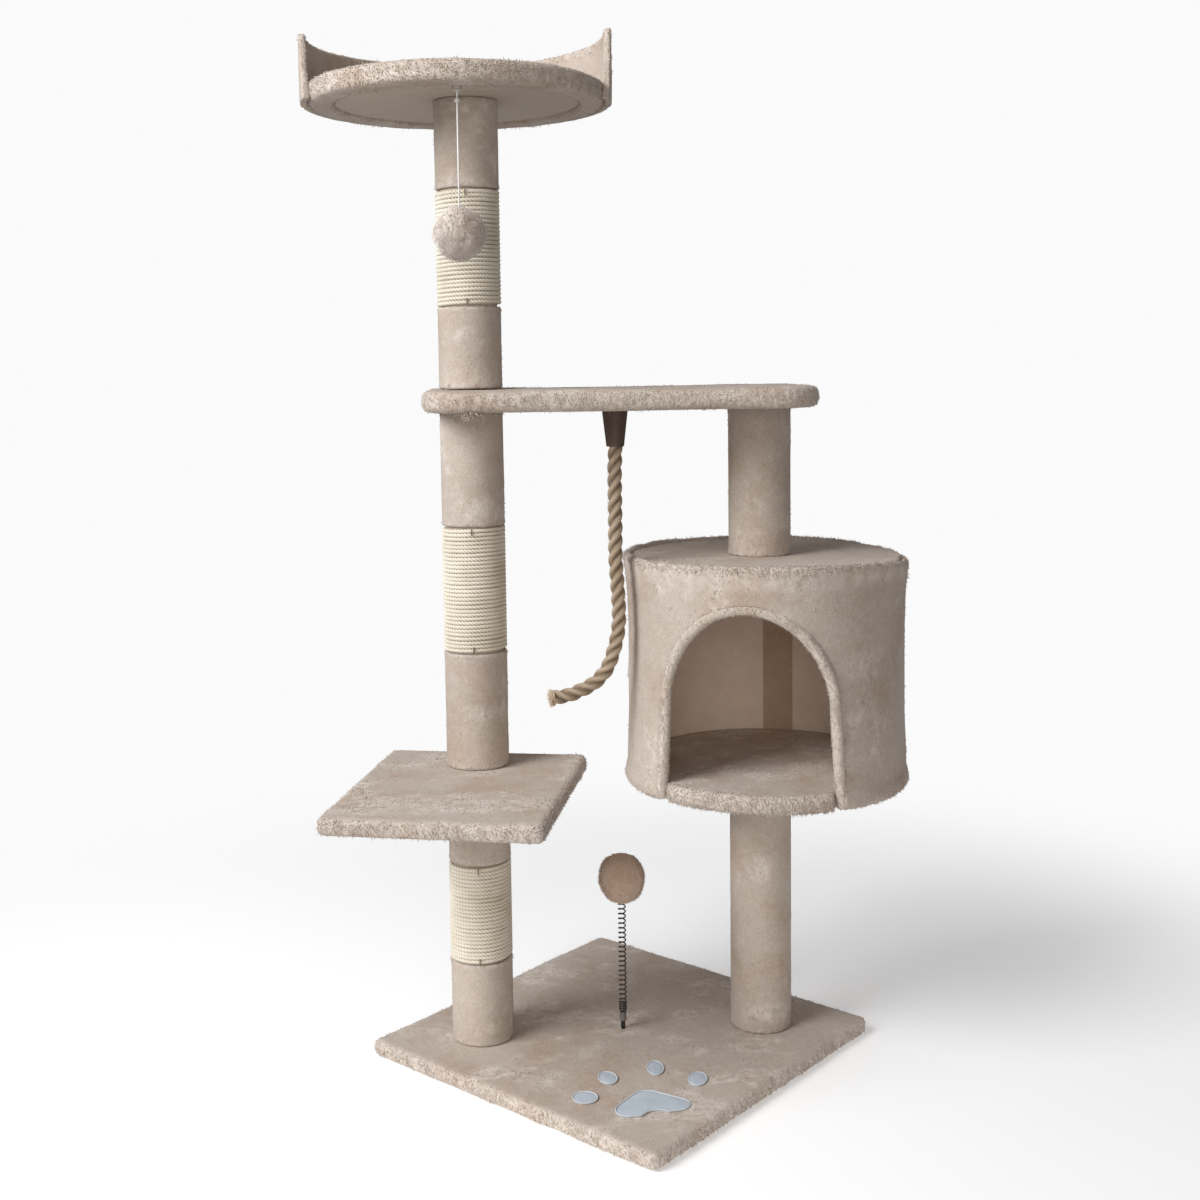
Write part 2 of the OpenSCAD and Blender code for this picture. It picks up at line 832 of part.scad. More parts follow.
condo_wall_lining();
condo_lining_seam();
condo_door_binding();
perch_board();
perch_cover();
wing_panel_left();
wing_panel_right();
wing_cover_left();
wing_cover_right();
wing_screws();
rope_socket();
rope_socket_screw();
rope();
string_staple();
string_loop();
pompom_string();
pompom();
spring_anchor();
spring_collar();
toy_spring();
toy_ball();
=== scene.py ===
"""Looks for the cat tree, built round its CAD frame: covers, sisal, rope, pom-pom, spring toy and paw.

Everything is in metres in the CAD's frame: +X from the perch post to the condo post, -Y the front, +Z up.
Places and sizes come from the CAD nodes' boxes; a few shapes that a box can't hold are named values here.
"""

import math

import bpy
import numpy as np
from mathutils import Matrix, Vector


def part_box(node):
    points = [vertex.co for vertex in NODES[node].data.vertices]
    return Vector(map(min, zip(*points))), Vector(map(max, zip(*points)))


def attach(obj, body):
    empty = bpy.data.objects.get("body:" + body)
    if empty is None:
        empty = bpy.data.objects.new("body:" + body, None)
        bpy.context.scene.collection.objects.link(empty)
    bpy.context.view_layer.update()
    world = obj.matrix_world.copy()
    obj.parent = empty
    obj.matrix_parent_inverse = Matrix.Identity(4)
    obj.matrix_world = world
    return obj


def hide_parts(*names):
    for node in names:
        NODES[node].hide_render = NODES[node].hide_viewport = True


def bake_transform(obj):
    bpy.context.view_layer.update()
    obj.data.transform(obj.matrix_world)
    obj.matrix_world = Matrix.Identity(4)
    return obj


MM = 0.001

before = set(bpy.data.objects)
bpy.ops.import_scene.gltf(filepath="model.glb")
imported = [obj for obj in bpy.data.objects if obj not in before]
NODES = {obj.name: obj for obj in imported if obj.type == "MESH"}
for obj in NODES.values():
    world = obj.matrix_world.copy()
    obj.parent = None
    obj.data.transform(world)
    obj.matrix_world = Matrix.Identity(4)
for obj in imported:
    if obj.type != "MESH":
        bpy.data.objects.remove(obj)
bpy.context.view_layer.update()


# ---------- places, from the CAD nodes ----------


def middle(node):
    low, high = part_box(node)
    return (low + high) / 2


def size(node):
    low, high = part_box(node)
    return high - low


def bottom(node):
    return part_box(node)[0].z


def top(node):
    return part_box(node)[1].z


def heights(node):
    return bottom(node), top(node)


def from_axis(points, x):
    """How far points lie from the upright axis at x, in the plane of the posts."""
    return np.hypot(points[:, 0] - x, points[:, 1])


LEFT_X = middle("sleeve_left_lower_bottom").x
BASE_CORNER = 12 * MM
BASE_SIDE = (size("base_cover").x + 2 * BASE_CORNER * (math.sqrt(2) - 1)) / math.sqrt(2)
CONDO_X = middle("condo_wall_plush").x
CONDO_R = size("condo_wall_plush").x / 2
PERCH = middle("perch_cover")
PERCH_R = size("perch_cover").x / 2

SHELF_TURN = math.radians(-13.5)
SHELF_W, SHELF_D, SHELF_BACK = 228 * MM, 278 * MM, 54 * MM
DOOR_TURN = math.radians(-109)
DOOR_HALF_W, DOOR_FLARE, DOOR_ARCH_H, BINDING_T = 86 * MM, 6 * MM, 108 * MM, 12 * MM
DOOR_TOP = top("condo_door_binding") - BINDING_T + 0.2 * MM
DOOR_OUT = Vector((math.cos(DOOR_TURN), math.sin(DOOR_TURN), 0))
DOOR_ACROSS = Vector((-DOOR_OUT.y, DOOR_OUT.x, 0))
WING_FRONT, WING_BACK, WING_SLANT = math.radians(-17), math.radians(61), 22 * MM


# ---------- numbers that repeat the same way each run ----------


def lattice(cell, seed):
    """A random number from 0 to 1 for each whole-number cell, the same every run."""
    h = cell[:, 0] * 73856093 ^ cell[:, 1] * 19349663 ^ cell[:, 2] * 83492791
    h = h ^ (seed * 2654435761 & 0x7FFFFFFF)
    h = (h ^ (h >> 13)) * 1274126177 & 0xFFFFFFFF
    h = (h ^ (h >> 16)) * 2246822519 & 0xFFFFFFFF
    return (h ^ (h >> 15) & 0xFFFFFFFF) / 4294967295.0


def noise(points, scale, seed=0):
    """Smooth value noise from -1 to 1. Its features are about scale metres across: one number, or three."""
    q = points / np.asarray(scale)
    cell = np.floor(q).astype(np.int64)
    f = q - cell
    f = f * f * (3 - 2 * f)
    total = np.zeros(len(points))
    for corner in range(8):
        step = np.array([corner >> 2 & 1, corner >> 1 & 1, corner & 1])
        weight = np.prod(np.where(step, f, 1 - f), axis=1)
        total += weight * lattice(cell + step, seed)
    return 2 * total - 1


def rough(points, scale, seed=0, octaves=3):
    """Several layers of noise, each half as wide and a little over half as strong."""
    total, weight = np.zeros(len(points)), 1.0
    for i in range(octaves):
        total += weight * noise(points, np.asarray(scale) / 2**i, seed + 17 * i)
        weight *= 0.55
    return total


def ramp(x, low, high):
    t = np.clip((x - low) / (high - low), 0, 1)
    return t * t * (3 - 2 * t)


# ---------- meshes ----------


def mesh_object(name, verts, faces):
    mesh = bpy.data.meshes.new(name)
    mesh.from_pydata(np.asarray(verts).tolist(), [], [list(map(int, f)) for f in faces])
    mesh.update()
    obj = bpy.data.objects.new(name, mesh)
    bpy.context.scene.collection.objects.link(obj)
    return obj


def shade_smooth(obj):
    obj.data.polygons.foreach_set("use_smooth", [True] * len(obj.data.polygons))
    return obj


def vertex_arrays(mesh):
    n = len(mesh.vertices)
    co, normal = np.zeros(n * 3), np.zeros(n * 3)
    mesh.vertices.foreach_get("co", co)
    mesh.vertex_normals.foreach_get("vector", normal)
    return co.reshape(-1, 3), normal.reshape(-1, 3)


def set_verts(mesh, co):
    mesh.vertices.foreach_set("co", co.ravel())
    mesh.update()


def set_attribute(mesh, name, values):
    kind = "FLOAT" if np.ndim(values) == 1 else "FLOAT_VECTOR"
    attribute = mesh.attributes.new(name, kind, "POINT")
    attribute.data.foreach_set("value" if kind == "FLOAT" else "vector", np.ravel(values).astype(np.float32))


def bake_modifiers(obj):
    """Applies the modifiers on obj to its mesh."""
    graph = bpy.context.evaluated_depsgraph_get()
    mesh = bpy.data.meshes.new_from_object(obj.evaluated_get(graph))
    obj.modifiers.clear()
    obj.data = mesh
    return obj


def joined(name, parts):
    """One object from several (verts, faces) pairs."""
    verts, faces, start = [], [], 0
    for part_verts, part_faces in parts:
        part_verts = np.asarray(part_verts, float).reshape(-1, 3)
        verts.append(part_verts)
        faces += [[start + int(i) for i in f] for f in part_faces]
        start += len(part_verts)
    return mesh_object(name, np.concatenate(verts), faces)


def remeshed(obj, voxel, smooth=3):
    """obj rebuilt as one even mesh, with its edges softened."""
    modifier = obj.modifiers.new("even", "REMESH")
    modifier.mode = "VOXEL"
    modifier.voxel_size = voxel
    soften = obj.modifiers.new("soften", "SMOOTH")
    soften.iterations = smooth
    soften.factor = 0.5
    return bake_modifiers(obj)


def ring_faces(count, n, clockwise=False):
    """Faces for count rings of n points each: one over each end, and the quads from ring to ring."""
    ends = [list(range(n))[::-1], [(count - 1) * n + i for i in range(n)]]
    quads = [
        [k * n + i, k * n + (i + 1) % n, (k + 1) * n + (i + 1) % n, (k + 1) * n + i]
        for k in range(count - 1)
        for i in range(n)
    ]
    if clockwise:
        return [end[::-1] for end in ends] + [[a, d, c, b] for a, b, c, d in quads]
    return ends + quads


def rounded_outline(w, d, r, steps=12):
    """A rectangle w by d with corners of radius r, counter-clockwise round the origin."""
    points = []
    for corner, (sx, sy) in enumerate([(1, 1), (-1, 1), (-1, -1), (1, -1)]):
        for i in range(steps + 1):
            a = math.pi / 2 * (corner + i / steps)
            points.append((sx * (w / 2 - r) + r * math.cos(a), sy * (d / 2 - r) + r * math.sin(a)))
    return points


def slab(w, d, corner, z0, z1, edge, place=Matrix.Identity(4), steps=12):
    """A slab whose long edges are rounded by edge: (verts, faces)."""
    rings = []
    for i in range(6):
        a = math.pi / 2 * i / 5
        rings.append((edge * (1 - math.sin(a)), z0 + edge * (1 - math.cos(a))))
    rings += [(inset, z0 + z1 - z) for inset, z in reversed(rings)]
    verts = []
    for inset, z in rings:
        outline = rounded_outline(w - 2 * inset, d - 2 * inset, max(corner - inset, 0.2 * MM), steps)
        verts += [place @ Vector((x, y, z)) for x, y in outline]
    return verts, ring_faces(len(rings), 4 * (steps + 1))


def disc(r, z0, z1, edge, x=0.0, y=0.0):
    return slab(2 * r, 2 * r, r, z0, z1, edge, Matrix.Translation((x, y, 0)), steps=24)


def ball(name):
    """An object for a ball of radius 1, and the direction of each of its points."""
    bpy.ops.mesh.primitive_ico_sphere_add(subdivisions=6, radius=1)
    obj = bpy.context.object
    obj.name = name
    return obj, vertex_arrays(obj.data)[0]


def revolved(profile, steps, x=0.0, y=0.0):
    """A closed outline of (radius, height) points turned round an upright axis: (verts, faces)."""
    n = len(profile)
    verts = [
        (x + r * math.cos(a), y + r * math.sin(a), z)
        for a in (2 * math.pi * k / steps for k in range(steps))
        for r, z in profile
    ]
    faces = [
        [k * n + i, (k + 1) % steps * n + i, (k + 1) % steps * n + (i + 1) % n, k * n + (i + 1) % n]
        for k in range(steps)
        for i in range(n)
    ]
    return verts, faces


def smooth_line(points, step):
    """A curve through points, with a point about every step."""
    p = np.asarray(points, float)
    p = np.vstack([2 * p[0] - p[1], p, 2 * p[-1] - p[-2]])
    found = []
    for i in range(1, len(p) - 2):
        a, b, c, d = p[i - 1 : i + 3]
        count = max(2, int(np.linalg.norm(c - b) / step))
        t = (np.arange(count) / count)[:, None]
        bend, twist = 2 * a - 5 * b + 4 * c - d, 3 * b - a - 3 * c + d
        found.append(0.5 * (2 * b + (c - a) * t + bend * t**2 + twist * t**3))
    return np.vstack([*found, p[-2:-1]])


def swept(path, radius, sides, first_up=(0, 1, 0)):
    """A tube along path, radius(angle, run) being each point's distance: (verts, faces, angle, run)."""
    path = np.asarray(path, float)
    tangent = np.gradient(path, axis=0)
    tangent /= np.linalg.norm(tangent, axis=1)[:, None]
    run = np.concatenate([[0], np.cumsum(np.linalg.norm(np.diff(path, axis=0), axis=1))])
    up = np.zeros_like(path)
    across = np.array(first_up, float)
    for i, t in enumerate(tangent):
        across = across - (across @ t) * t
        across /= np.linalg.norm(across)
        up[i] = across
    side = np.cross(tangent, up)
    angle = 2 * np.pi * np.arange(sides) / sides
    grid_angle, grid_run = np.meshgrid(angle, run)
    r = radius(grid_angle, grid_run)[..., None]
    out = np.cos(grid_angle)[..., None] * up[:, None] + np.sin(grid_angle)[..., None] * side[:, None]
    verts = (path[:, None] + r * out).reshape(-1, 3)
    i, k = np.meshgrid(np.arange(len(path) - 1), np.arange(sides), indexing="ij")
    n = (k + 1) % sides
    quads = np.stack([i * sides + k, i * sides + n, (i + 1) * sides + n, (i + 1) * sides + k], -1)
    faces = quads.reshape(-1, 4).tolist()
    faces.append(list(range(sides))[::-1])
    faces.append([(len(path) - 1) * sides + j for j in range(sides)])
    return verts, faces, grid_angle.ravel(), grid_run.ravel()


# ---------- plush ----------

VOXEL = 2.0 * MM


def surface_points(mesh, count, rng, weight):
    """count points spread over a mesh by area, more where weight (one number a vertex) is high."""
    mesh.calc_loop_triangles()
    tri = np.zeros(len(mesh.loop_triangles) * 3, int)
    mesh.loop_triangles.foreach_get("vertices", tri)
    tri = tri.reshape(-1, 3)
    co, normal = vertex_arrays(mesh)
    a, b, c = co[tri[:, 0]], co[tri[:, 1]], co[tri[:, 2]]
    chance = np.linalg.norm(np.cross(b - a, c - a), axis=1) * weight[tri].mean(1)
    pick = rng.choice(len(tri), count, p=chance / chance.sum())
    u, v = rng.random((2, count, 1))
    u, v = np.where(u + v > 1, 1 - u, u), np.where(u + v > 1, 1 - v, v)
    at = a[pick] * (1 - u - v) + b[pick] * u + c[pick] * v
    n = normal[tri[pick]].mean(1)
    return at, n / np.maximum(np.linalg.norm(n, axis=1)[:, None], 1e-9)


def tufts(at, direction, length, thick, rng, droop=0.3):
    """Small closed three-sided tufts of pile, each bent a little on its way to its tip."""
    n = len(at)
    direction = direction / np.linalg.norm(direction, axis=1)[:, None]
    across = np.cross(direction, rng.normal(size=(n, 3)))
    across /= np.linalg.norm(across, axis=1)[:, None]
    other = np.cross(direction, across)
    bend = droop * rng.normal(size=(n, 3))
    root = at - direction * (0.8 * MM)
    turn = 2 * np.pi / 3 * np.arange(3)
    ring = across[:, None] * np.cos(turn)[None, :, None] + other[:, None] * np.sin(turn)[None, :, None]
    mid = root + direction * (0.55 * length)[:, None]
    tip = root + (direction + bend) * length[:, None]
    verts = np.concatenate(
        [
            root[:, None] + ring * thick[:, None, None],
            mid[:, None] + ring * 0.6 * thick[:, None, None] + bend[:, None] * 0.2 * length[:, None, None],
            tip[:, None],
        ],
        axis=1,
    ).reshape(-1, 3)
    start = 7 * np.arange(n)[:, None]
    quads = [start + np.array([k, (k + 1) % 3, 3 + (k + 1) % 3, 3 + k]) for k in range(3)]
    tris = [start + np.array([3 + k, 3 + (k + 1) % 3, 6]) for k in range(3)] + [start + np.array([2, 1, 0])]
    return verts, np.concatenate(quads).tolist() + np.concatenate(tris).tolist()


def tuft_values(root, mid, tip, count):
    """One number for each of the seven corners of count tufts."""
    return np.tile([root] * 3 + [mid] * 3 + [tip], count)


def with_tufts(obj, tuft_mesh):
    """obj and its tufts as one object of the same name, with the tufts' corners last."""
    name = obj.name
    body_co, _ = vertex_arrays(obj.data)
    body_faces = [list(p.vertices) for p in obj.data.polygons]
    bpy.data.objects.remove(obj)
    return joined(name, [(body_co, body_faces), tuft_mesh])


def plush(obj, seed, pile, edge, tuft_count, tuft_mm, bare=None, brushed=0.4, pale=None):
    """Gives obj a short satin pile: soft swells, some brushed patches, and tufts, thickest at its edges.

    edge, bare and pale each give every point a number from 0 to 1: for how shaggy it is, for where no pile
    shows, and for where it is paler, with a painted highlight, and still smooth. brushed says how much of the
    cover is brushed up. Brushed patches and shaggy edges get a painted sheen, and low pile gets painted
    shade."""
    rng = np.random.default_rng(seed)
    co, normal = vertex_arrays(obj.data)
    shag = edge(co, normal)
    worn = np.ones(len(co)) if bare is None else 1 - bare(co, normal)
    patch = ramp(rough(co, (0.05, 0.034, 0.042), seed, 4), 0.55 - brushed, 1.35 - brushed)
    swell = 0.32 * noise(co, 0.05, seed + 1) + 0.14 * noise(co, 0.018, seed + 2)
    clump = noise(co, 0.0046, seed + 3) + 0.5 * noise(co, 0.0026, seed + 4)
    comb = noise(co, (0.003, 0.003, 0.013), seed + 5)
    height = swell + (0.07 + 0.15 * patch) * clump + 0.15 * patch + shag * (0.2 + 0.36 * comb)
    set_verts(obj.data, co + normal * (pile * worn * height * MM)[:, None])
    # painted shade: the pile is paler where its clumps and shaggy edges stand up and darker where they lie
    # low
    lift = np.clip(0.5 + (0.05 + 0.16 * patch) * clump + 0.2 * shag * comb, 0, 1)
    # painted sheen: brushed patches, shaggy edges and the pale places are painted paler
    up = np.maximum(patch, 0.75 * shag) * worn
    if pale is not None:
        up = np.maximum(up, pale(co, normal) * worn)
    at, n = surface_points(obj.data, tuft_count, rng, (0.02 + 0.3 * patch**2 + 1.6 * shag) * worn)
    nap = np.stack([noise(at, 0.028, seed + k) for k in (6, 7, 8)], 1)
    flow = 0.42 * n + 1.1 * nap + 0.25 * rng.normal(size=n.shape) - np.array([0, 0, 0.35])
    flow -= n * np.minimum(np.sum(flow * n, 1) - 0.3, 0)[:, None]
    length = tuft_mm * MM * (0.6 + 0.8 * rng.random(tuft_count))
    thick = (0.45 + 0.3 * rng.random(tuft_count)) * MM
    obj = with_tufts(obj, tufts(at, flow, length, thick, rng))
    # tufts get painted shade at their roots, painted light at their tips, and the painted sheen all over
    set_attribute(obj.data, "lift", np.concatenate([lift, tuft_values(0.42, 0.58, 0.85, tuft_count)]))
    set_attribute(obj.data, "brushed", np.concatenate([up, tuft_values(0.6, 0.6, 0.6, tuft_count)]))
    return shade_smooth(obj)


def side_edge(co, normal):
    """Shaggy where a board's cover turns down over its side."""
    return ramp(1 - np.abs(normal[:, 2]), 0.05, 0.5)


def dress(obj, body, slot_name, material, *replaced):
    obj.data.materials.clear()
    obj.data.materials.append(material)
    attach(obj, body)
    if replaced:
        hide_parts(*replaced)
    return obj


def cover(obj, replaced, seed, pile, **settings):
    """Gives obj its pile and puts it on the stand in place of the CAD's plain cover."""
    return dress(plush(obj, seed, pile, **settings), "stand", "plush", PLUSH, replaced)


# ---------- materials ----------


def new_material(name, roughness, specular=0.5, sheen=0.0, metallic=0.0):
    material = bpy.data.materials.new(name)
    material.use_nodes = True
    tree = material.node_tree
    tree.nodes.clear()
    output = tree.nodes.new("ShaderNodeOutputMaterial")
    shader = tree.nodes.new("ShaderNodeBsdfPrincipled")
    tree.links.new(shader.outputs[0], output.inputs[0])
    shader.inputs["Roughness"].default_value = roughness
    shader.inputs["Specular IOR Level"].default_value = specular
    shader.inputs["Sheen Weight"].default_value = sheen
    shader.inputs["Metallic"].default_value = metallic
    return material, tree, shader


def node(tree, kind, inputs=None, **settings):
    made = tree.nodes.new("ShaderNode" + kind)
    for key, value in settings.items():
        setattr(made, key, value)
    for key, value in (inputs or {}).items():
        if isinstance(value, bpy.types.NodeSocket):
            tree.links.new(value, made.inputs[key])
        else:
            made.inputs[key].default_value = value
    return made


def place_of(tree):
    return node(tree, "TexCoord").outputs["Object"]


def texture(tree, scale, detail, roughness, at=None):
    inputs = {"Vector": at or place_of(tree), "Scale": scale, "Detail": detail, "Roughness": roughness}
    return node(tree, "TexNoise", inputs).outputs["Fac"]


def stretched(tree, factors):
    return node(tree, "Mapping", {"Vector": place_of(tree), "Scale": factors}).outputs[0]


def blend_colours(tree, factor, *stops):
    """A colour ramp over (position, colour) stops."""
    made = node(tree, "ValToRGB", {"Fac": factor})
    ramp_stops = made.color_ramp.elements
    while len(ramp_stops) < len(stops):
        ramp_stops.new(0.5)
    for stop, (position, colour) in zip(ramp_stops, stops):
        stop.position = position
        stop.color = (*colour, 1)
    return made.outputs[0]


def mix(tree, factor, a, b, how="MIX"):
    made = node(tree, "Mix", data_type="RGBA", blend_type=how)
    for key, value in ((0, factor), (6, a), (7, b)):
        if isinstance(value, bpy.types.NodeSocket):
            tree.links.new(value, made.inputs[key])
        elif key == 0:
            made.inputs[key].default_value = value
        else:
            made.inputs[key].default_value = (*value, 1)
    return made.outputs[2]


def sums(tree, how, a, b):
    return node(tree, "Math", {0: a, 1: b}, operation=how).outputs[0]


def weighted(tree, a, a_share, b, b_share):
    """a and b, each times its share, added up."""
    return sums(tree, "ADD", sums(tree, "MULTIPLY", a, a_share), sums(tree, "MULTIPLY", b, b_share))


def surface(tree, shader, colour, height, strength, distance):
    """Gives the shader its colour, and bumps as deep as distance where height is 1."""
    tree.links.new(colour, shader.inputs["Base Color"])
    made = node(tree, "Bump", {"Height": height, "Strength": strength, "Distance": distance})
    tree.links.new(made.outputs[0], shader.inputs["Normal"])


def attribute(tree, name, output="Fac"):
    return node(tree, "Attribute", attribute_name=name).outputs[output]


def plush_material(name, deep, main, pale, sheen=0.25, fibre_bump=0.45):
    """Short satin pile: deep with painted shade between the tufts, pale with painted light on their tips,
    and a painted sheen where it is brushed up.
    """
    material, tree, shader = new_material(name, 0.92, 0.12, sheen)
    fibres = texture(tree, 560.0, 2.0, 0.7)
    # painted shade and light from the pile's relief, mixed with the fibres' own tone
    shade = weighted(tree, attribute(tree, "lift"), 0.6, fibres, 0.4)
    colour = blend_colours(tree, shade, (0.3, deep), (0.5, main), (0.72, pale))
    cloud = texture(tree, 14.0, 4.0, 0.62)
    nap = blend_colours(tree, cloud, (0.34, (0.86, 0.79, 0.73)), (0.5, (0.95, 0.94, 0.93)), (0.64, (1, 1, 1)))
    colour = mix(tree, 1.0, colour, nap, "MULTIPLY")
    # painted sheen: paler streaks where the pile is brushed up, on shaggy edges and on tufts
    streaks = texture(tree, 1.0, 4.0, 0.7, at=stretched(tree, (60.0, 95.0, 45.0)))
    brushed = node(tree, "MapRange", {0: streaks, 1: 0.34, 2: 0.84}).outputs[0]
    brushed = sums(tree, "MULTIPLY", brushed, sums(tree, "MULTIPLY", attribute(tree, "brushed"), 0.85))
    colour = mix(tree, brushed, colour, tuple(min(1.0, 1.16 * c) for c in pale))
    shader.inputs["Sheen Roughness"].default_value = 0.5
    shader.inputs["Sheen Tint"].default_value = (*pale, 1)
    height = weighted(tree, texture(tree, 190.0, 3.0, 0.65), 0.35, fibres, 0.5)
    surface(tree, shader, colour, height, fibre_bump, 1.0 * MM)
    return material


def rope_material(name, deep, main, pale, across, along):
    """Laid fibre: the run attribute holds the angle round a strand and the length along it.
    Painted shade darkens the strands towards their grooves and loose fibres at their roots.
    """
    material, tree, shader = new_material(name, 0.8, 0.25, 0.15)
    run = attribute(tree, "run", "Vector")
    lines = node(tree, "Mapping", {"Vector": run, "Scale": (across, along, 1.0)}).outputs[0]
    fibre = texture(tree, 1.0, 3.0, 0.65, at=lines)
    stain = texture(tree, 30.0, 2.0, 0.5)
    # painted shade in the grooves between strands and at the roots of loose fibres
    shade = weighted(tree, fibre, 0.55, attribute(tree, "groove"), 0.45)
    colour = blend_colours(tree, shade, (0.18, deep), (0.5, main), (0.82, pale))
    tone = blend_colours(tree, stain, (0.35, (0.86, 0.84, 0.80)), (0.65, (1, 1, 1)))
    surface(tree, shader, mix(tree, 1.0, colour, tone, "MULTIPLY"), fibre, 0.5, 0.8 * MM)
    return material


def felt_material(name, main, pale, scale=420.0, weave=False):
    """Pressed or woven cloth without pile."""
    material, tree, shader = new_material(name, 0.9, 0.15, 0.2)
    fibres = texture(tree, scale, 3.0, 0.7)
    shade = weighted(tree, fibres, 0.6, texture(tree, 40.0, 2.0, 0.5), 0.4)
    height = fibres
    if weave:
        inputs = {"Vector": stretched(tree, (1, 1, 0.02)), "Scale": 180.0, "Distortion": 1.5}
        threads = node(tree, "TexWave", inputs).outputs["Fac"]
        height = sums(tree, "ADD", fibres, sums(tree, "MULTIPLY", threads, 0.5))
    surface(tree, shader, blend_colours(tree, shade, (0.36, main), (0.64, pale)), height, 0.4, 0.5 * MM)
    return material


def board_material():
    """Bare board: pale pressed fibre with a faint grain."""
    material, tree, shader = new_material("bare_board", 0.7)
    grain = texture(tree, 1.0, 4.0, 0.6, at=stretched(tree, (25.0, 260.0, 60.0)))
    shade = weighted(tree, grain, 0.7, texture(tree, 700.0, 2.0, 0.6), 0.3)
    colour = blend_colours(tree, shade, (0.3, (0.46, 0.385, 0.305)), (0.7, (0.60, 0.51, 0.42)))
    surface(tree, shader, colour, shade, 0.15, 0.3 * MM)
    return material


def metal_material(name, colour, roughness=0.35):
    material, tree, shader = new_material(name, roughness, metallic=1.0)
    streaks = texture(tree, 1.0, 3.0, 0.6, at=stretched(tree, (300.0, 300.0, 40.0)))
    shade = blend_colours(tree, streaks, (0.3, tuple(0.75 * c for c in colour)), (0.7, colour))
    surface(tree, shader, shade, streaks, 0.1, 0.1 * MM)
    return material


def plastic_material(name, colour, roughness):
    material, tree, shader = new_material(name, roughness)
    worn = tuple(min(1, 1.35 * c + 0.01) for c in colour)
    shade = blend_colours(tree, texture(tree, 70.0, 4.0, 0.7), (0.35, colour), (0.75, worn))
    surface(tree, shader, shade, texture(tree, 900.0, 2.0, 0.6), 0.12, 0.15 * MM)
    return material


PLUSH = plush_material("plush", (0.36, 0.30, 0.255), (0.52, 0.445, 0.385), (0.72, 0.65, 0.59))
SISAL = rope_material("sisal", (0.46, 0.385, 0.285), (0.86, 0.795, 0.665), (0.97, 0.94, 0.865), 2.0, 900.0)
ROPE = rope_material("rope_fibre", (0.13, 0.085, 0.05), (0.35, 0.265, 0.185), (0.54, 0.435, 0.33), 3.0, 500.0)
ROPE_TIPS = rope_material(
    "rope_cut_fibre", (0.40, 0.28, 0.17), (0.75, 0.60, 0.44), (0.93, 0.82, 0.68), 3.0, 500.0
)
POMPOM = plush_material("pompom_pile", (0.68, 0.57, 0.50), (0.84, 0.75, 0.68), (0.95, 0.89, 0.84), 0.5, 0.2)
BALL = plush_material("ball_felt", (0.42, 0.295, 0.21), (0.54, 0.395, 0.30), (0.78, 0.65, 0.55), 0.6, 0.25)
PAW = felt_material("paw_felt", (0.42, 0.48, 0.55), (0.56, 0.62, 0.69))
PAW_STITCH = felt_material("paw_stitch", (0.52, 0.56, 0.60), (0.68, 0.71, 0.74), 900.0)
LINING = felt_material("lining", (0.76, 0.64, 0.545), (0.88, 0.76, 0.66), 500.0, True)
SEAM_TAPE = felt_material("seam_tape", (0.48, 0.35, 0.26), (0.58, 0.43, 0.33), 300.0)
UNDERLAY = felt_material("underlay", (0.012, 0.012, 0.012), (0.03, 0.03, 0.03), 500.0)
STRING = felt_material("string_weave", (0.72, 0.71, 0.68), (0.90, 0.89, 0.87), 1500.0)
BOARD = board_material()
STEEL = metal_material("zinc_steel", (0.60, 0.60, 0.58))
STAPLE = metal_material("staple_steel", (0.20, 0.17, 0.14), 0.5)
SPRING_STEEL = metal_material("spring_steel", (0.12, 0.105, 0.09), 0.45)
SOCKET = plastic_material("socket_plastic", (0.070, 0.045, 0.030), 0.55)
BLACK = plastic_material("black_plastic", (0.012, 0.011, 0.010), 0.4)
CLEAR = plastic_material("clear_plastic", (0.15, 0.135, 0.12), 0.25)

NODE_MATERIALS = {
    BOARD: ["base_board", "post_end_plugs", "shelf_board", "plank_board", "condo_floor_board",
            "condo_roof_board", "perch_board", "condo_wall_panel", "wing_panel_left", "wing_panel_right",
            "tube_left_lower", "tube_left_middle", "tube_left_upper", "tube_right_lower", "tube_right_upper"],
    STEEL: ["threaded_inserts", "post_bolts", "bolt_washers", "post_studs", "wing_screws",
            "rope_socket_screw", "string_staple"],
    STAPLE: ["sisal_staples"],
    UNDERLAY: ["base_underlay"],
    LINING: ["condo_wall_lining"],
    SEAM_TAPE: ["condo_lining_seam"],
    STRING: ["string_loop"],
    SOCKET: ["rope_socket"],
    BLACK: ["spring_anchor"],
    CLEAR: ["spring_collar"],
}  # fmt: skip
for material, names in NODE_MATERIALS.items():
    for name in names:
        NODES[name].data.materials.clear()
        NODES[name].data.materials.append(material)


# ---------- camera ----------


def make_camera():
    """The view from 0.79 m up and 1.7 m in front, looking 5 degrees down and turned 4 to the right."""
    data = bpy.data.cameras.new("camera")
    data.sensor_width = 36
    data.lens = 45.69
    data.shift_x = 0.023
    data.shift_y = -0.085
    camera = bpy.data.objects.new("camera", data)
    bpy.context.scene.collection.objects.link(camera)
    camera.location = (-174.2 * MM, -1700.3 * MM, 788.3 * MM)
    turn, pitch, roll = math.radians(-4.16), math.radians(5.03), math.radians(0.8)
    camera.matrix_world = (
        Matrix.Translation(camera.location)
        @ Matrix.Rotation(turn, 4, "Z")
        @ Matrix.Rotation(math.pi / 2 - pitch, 4, "X")
        @ Matrix.Rotation(-roll, 4, "Z")
    )
    bpy.context.scene.camera = camera


make_camera()


# ---------- cords: the rope and the pom-pom's string ----------

ROPE_Y = -44 * MM
ROPE_D = 17.2 * MM
ROPE_LAY = 44 * MM
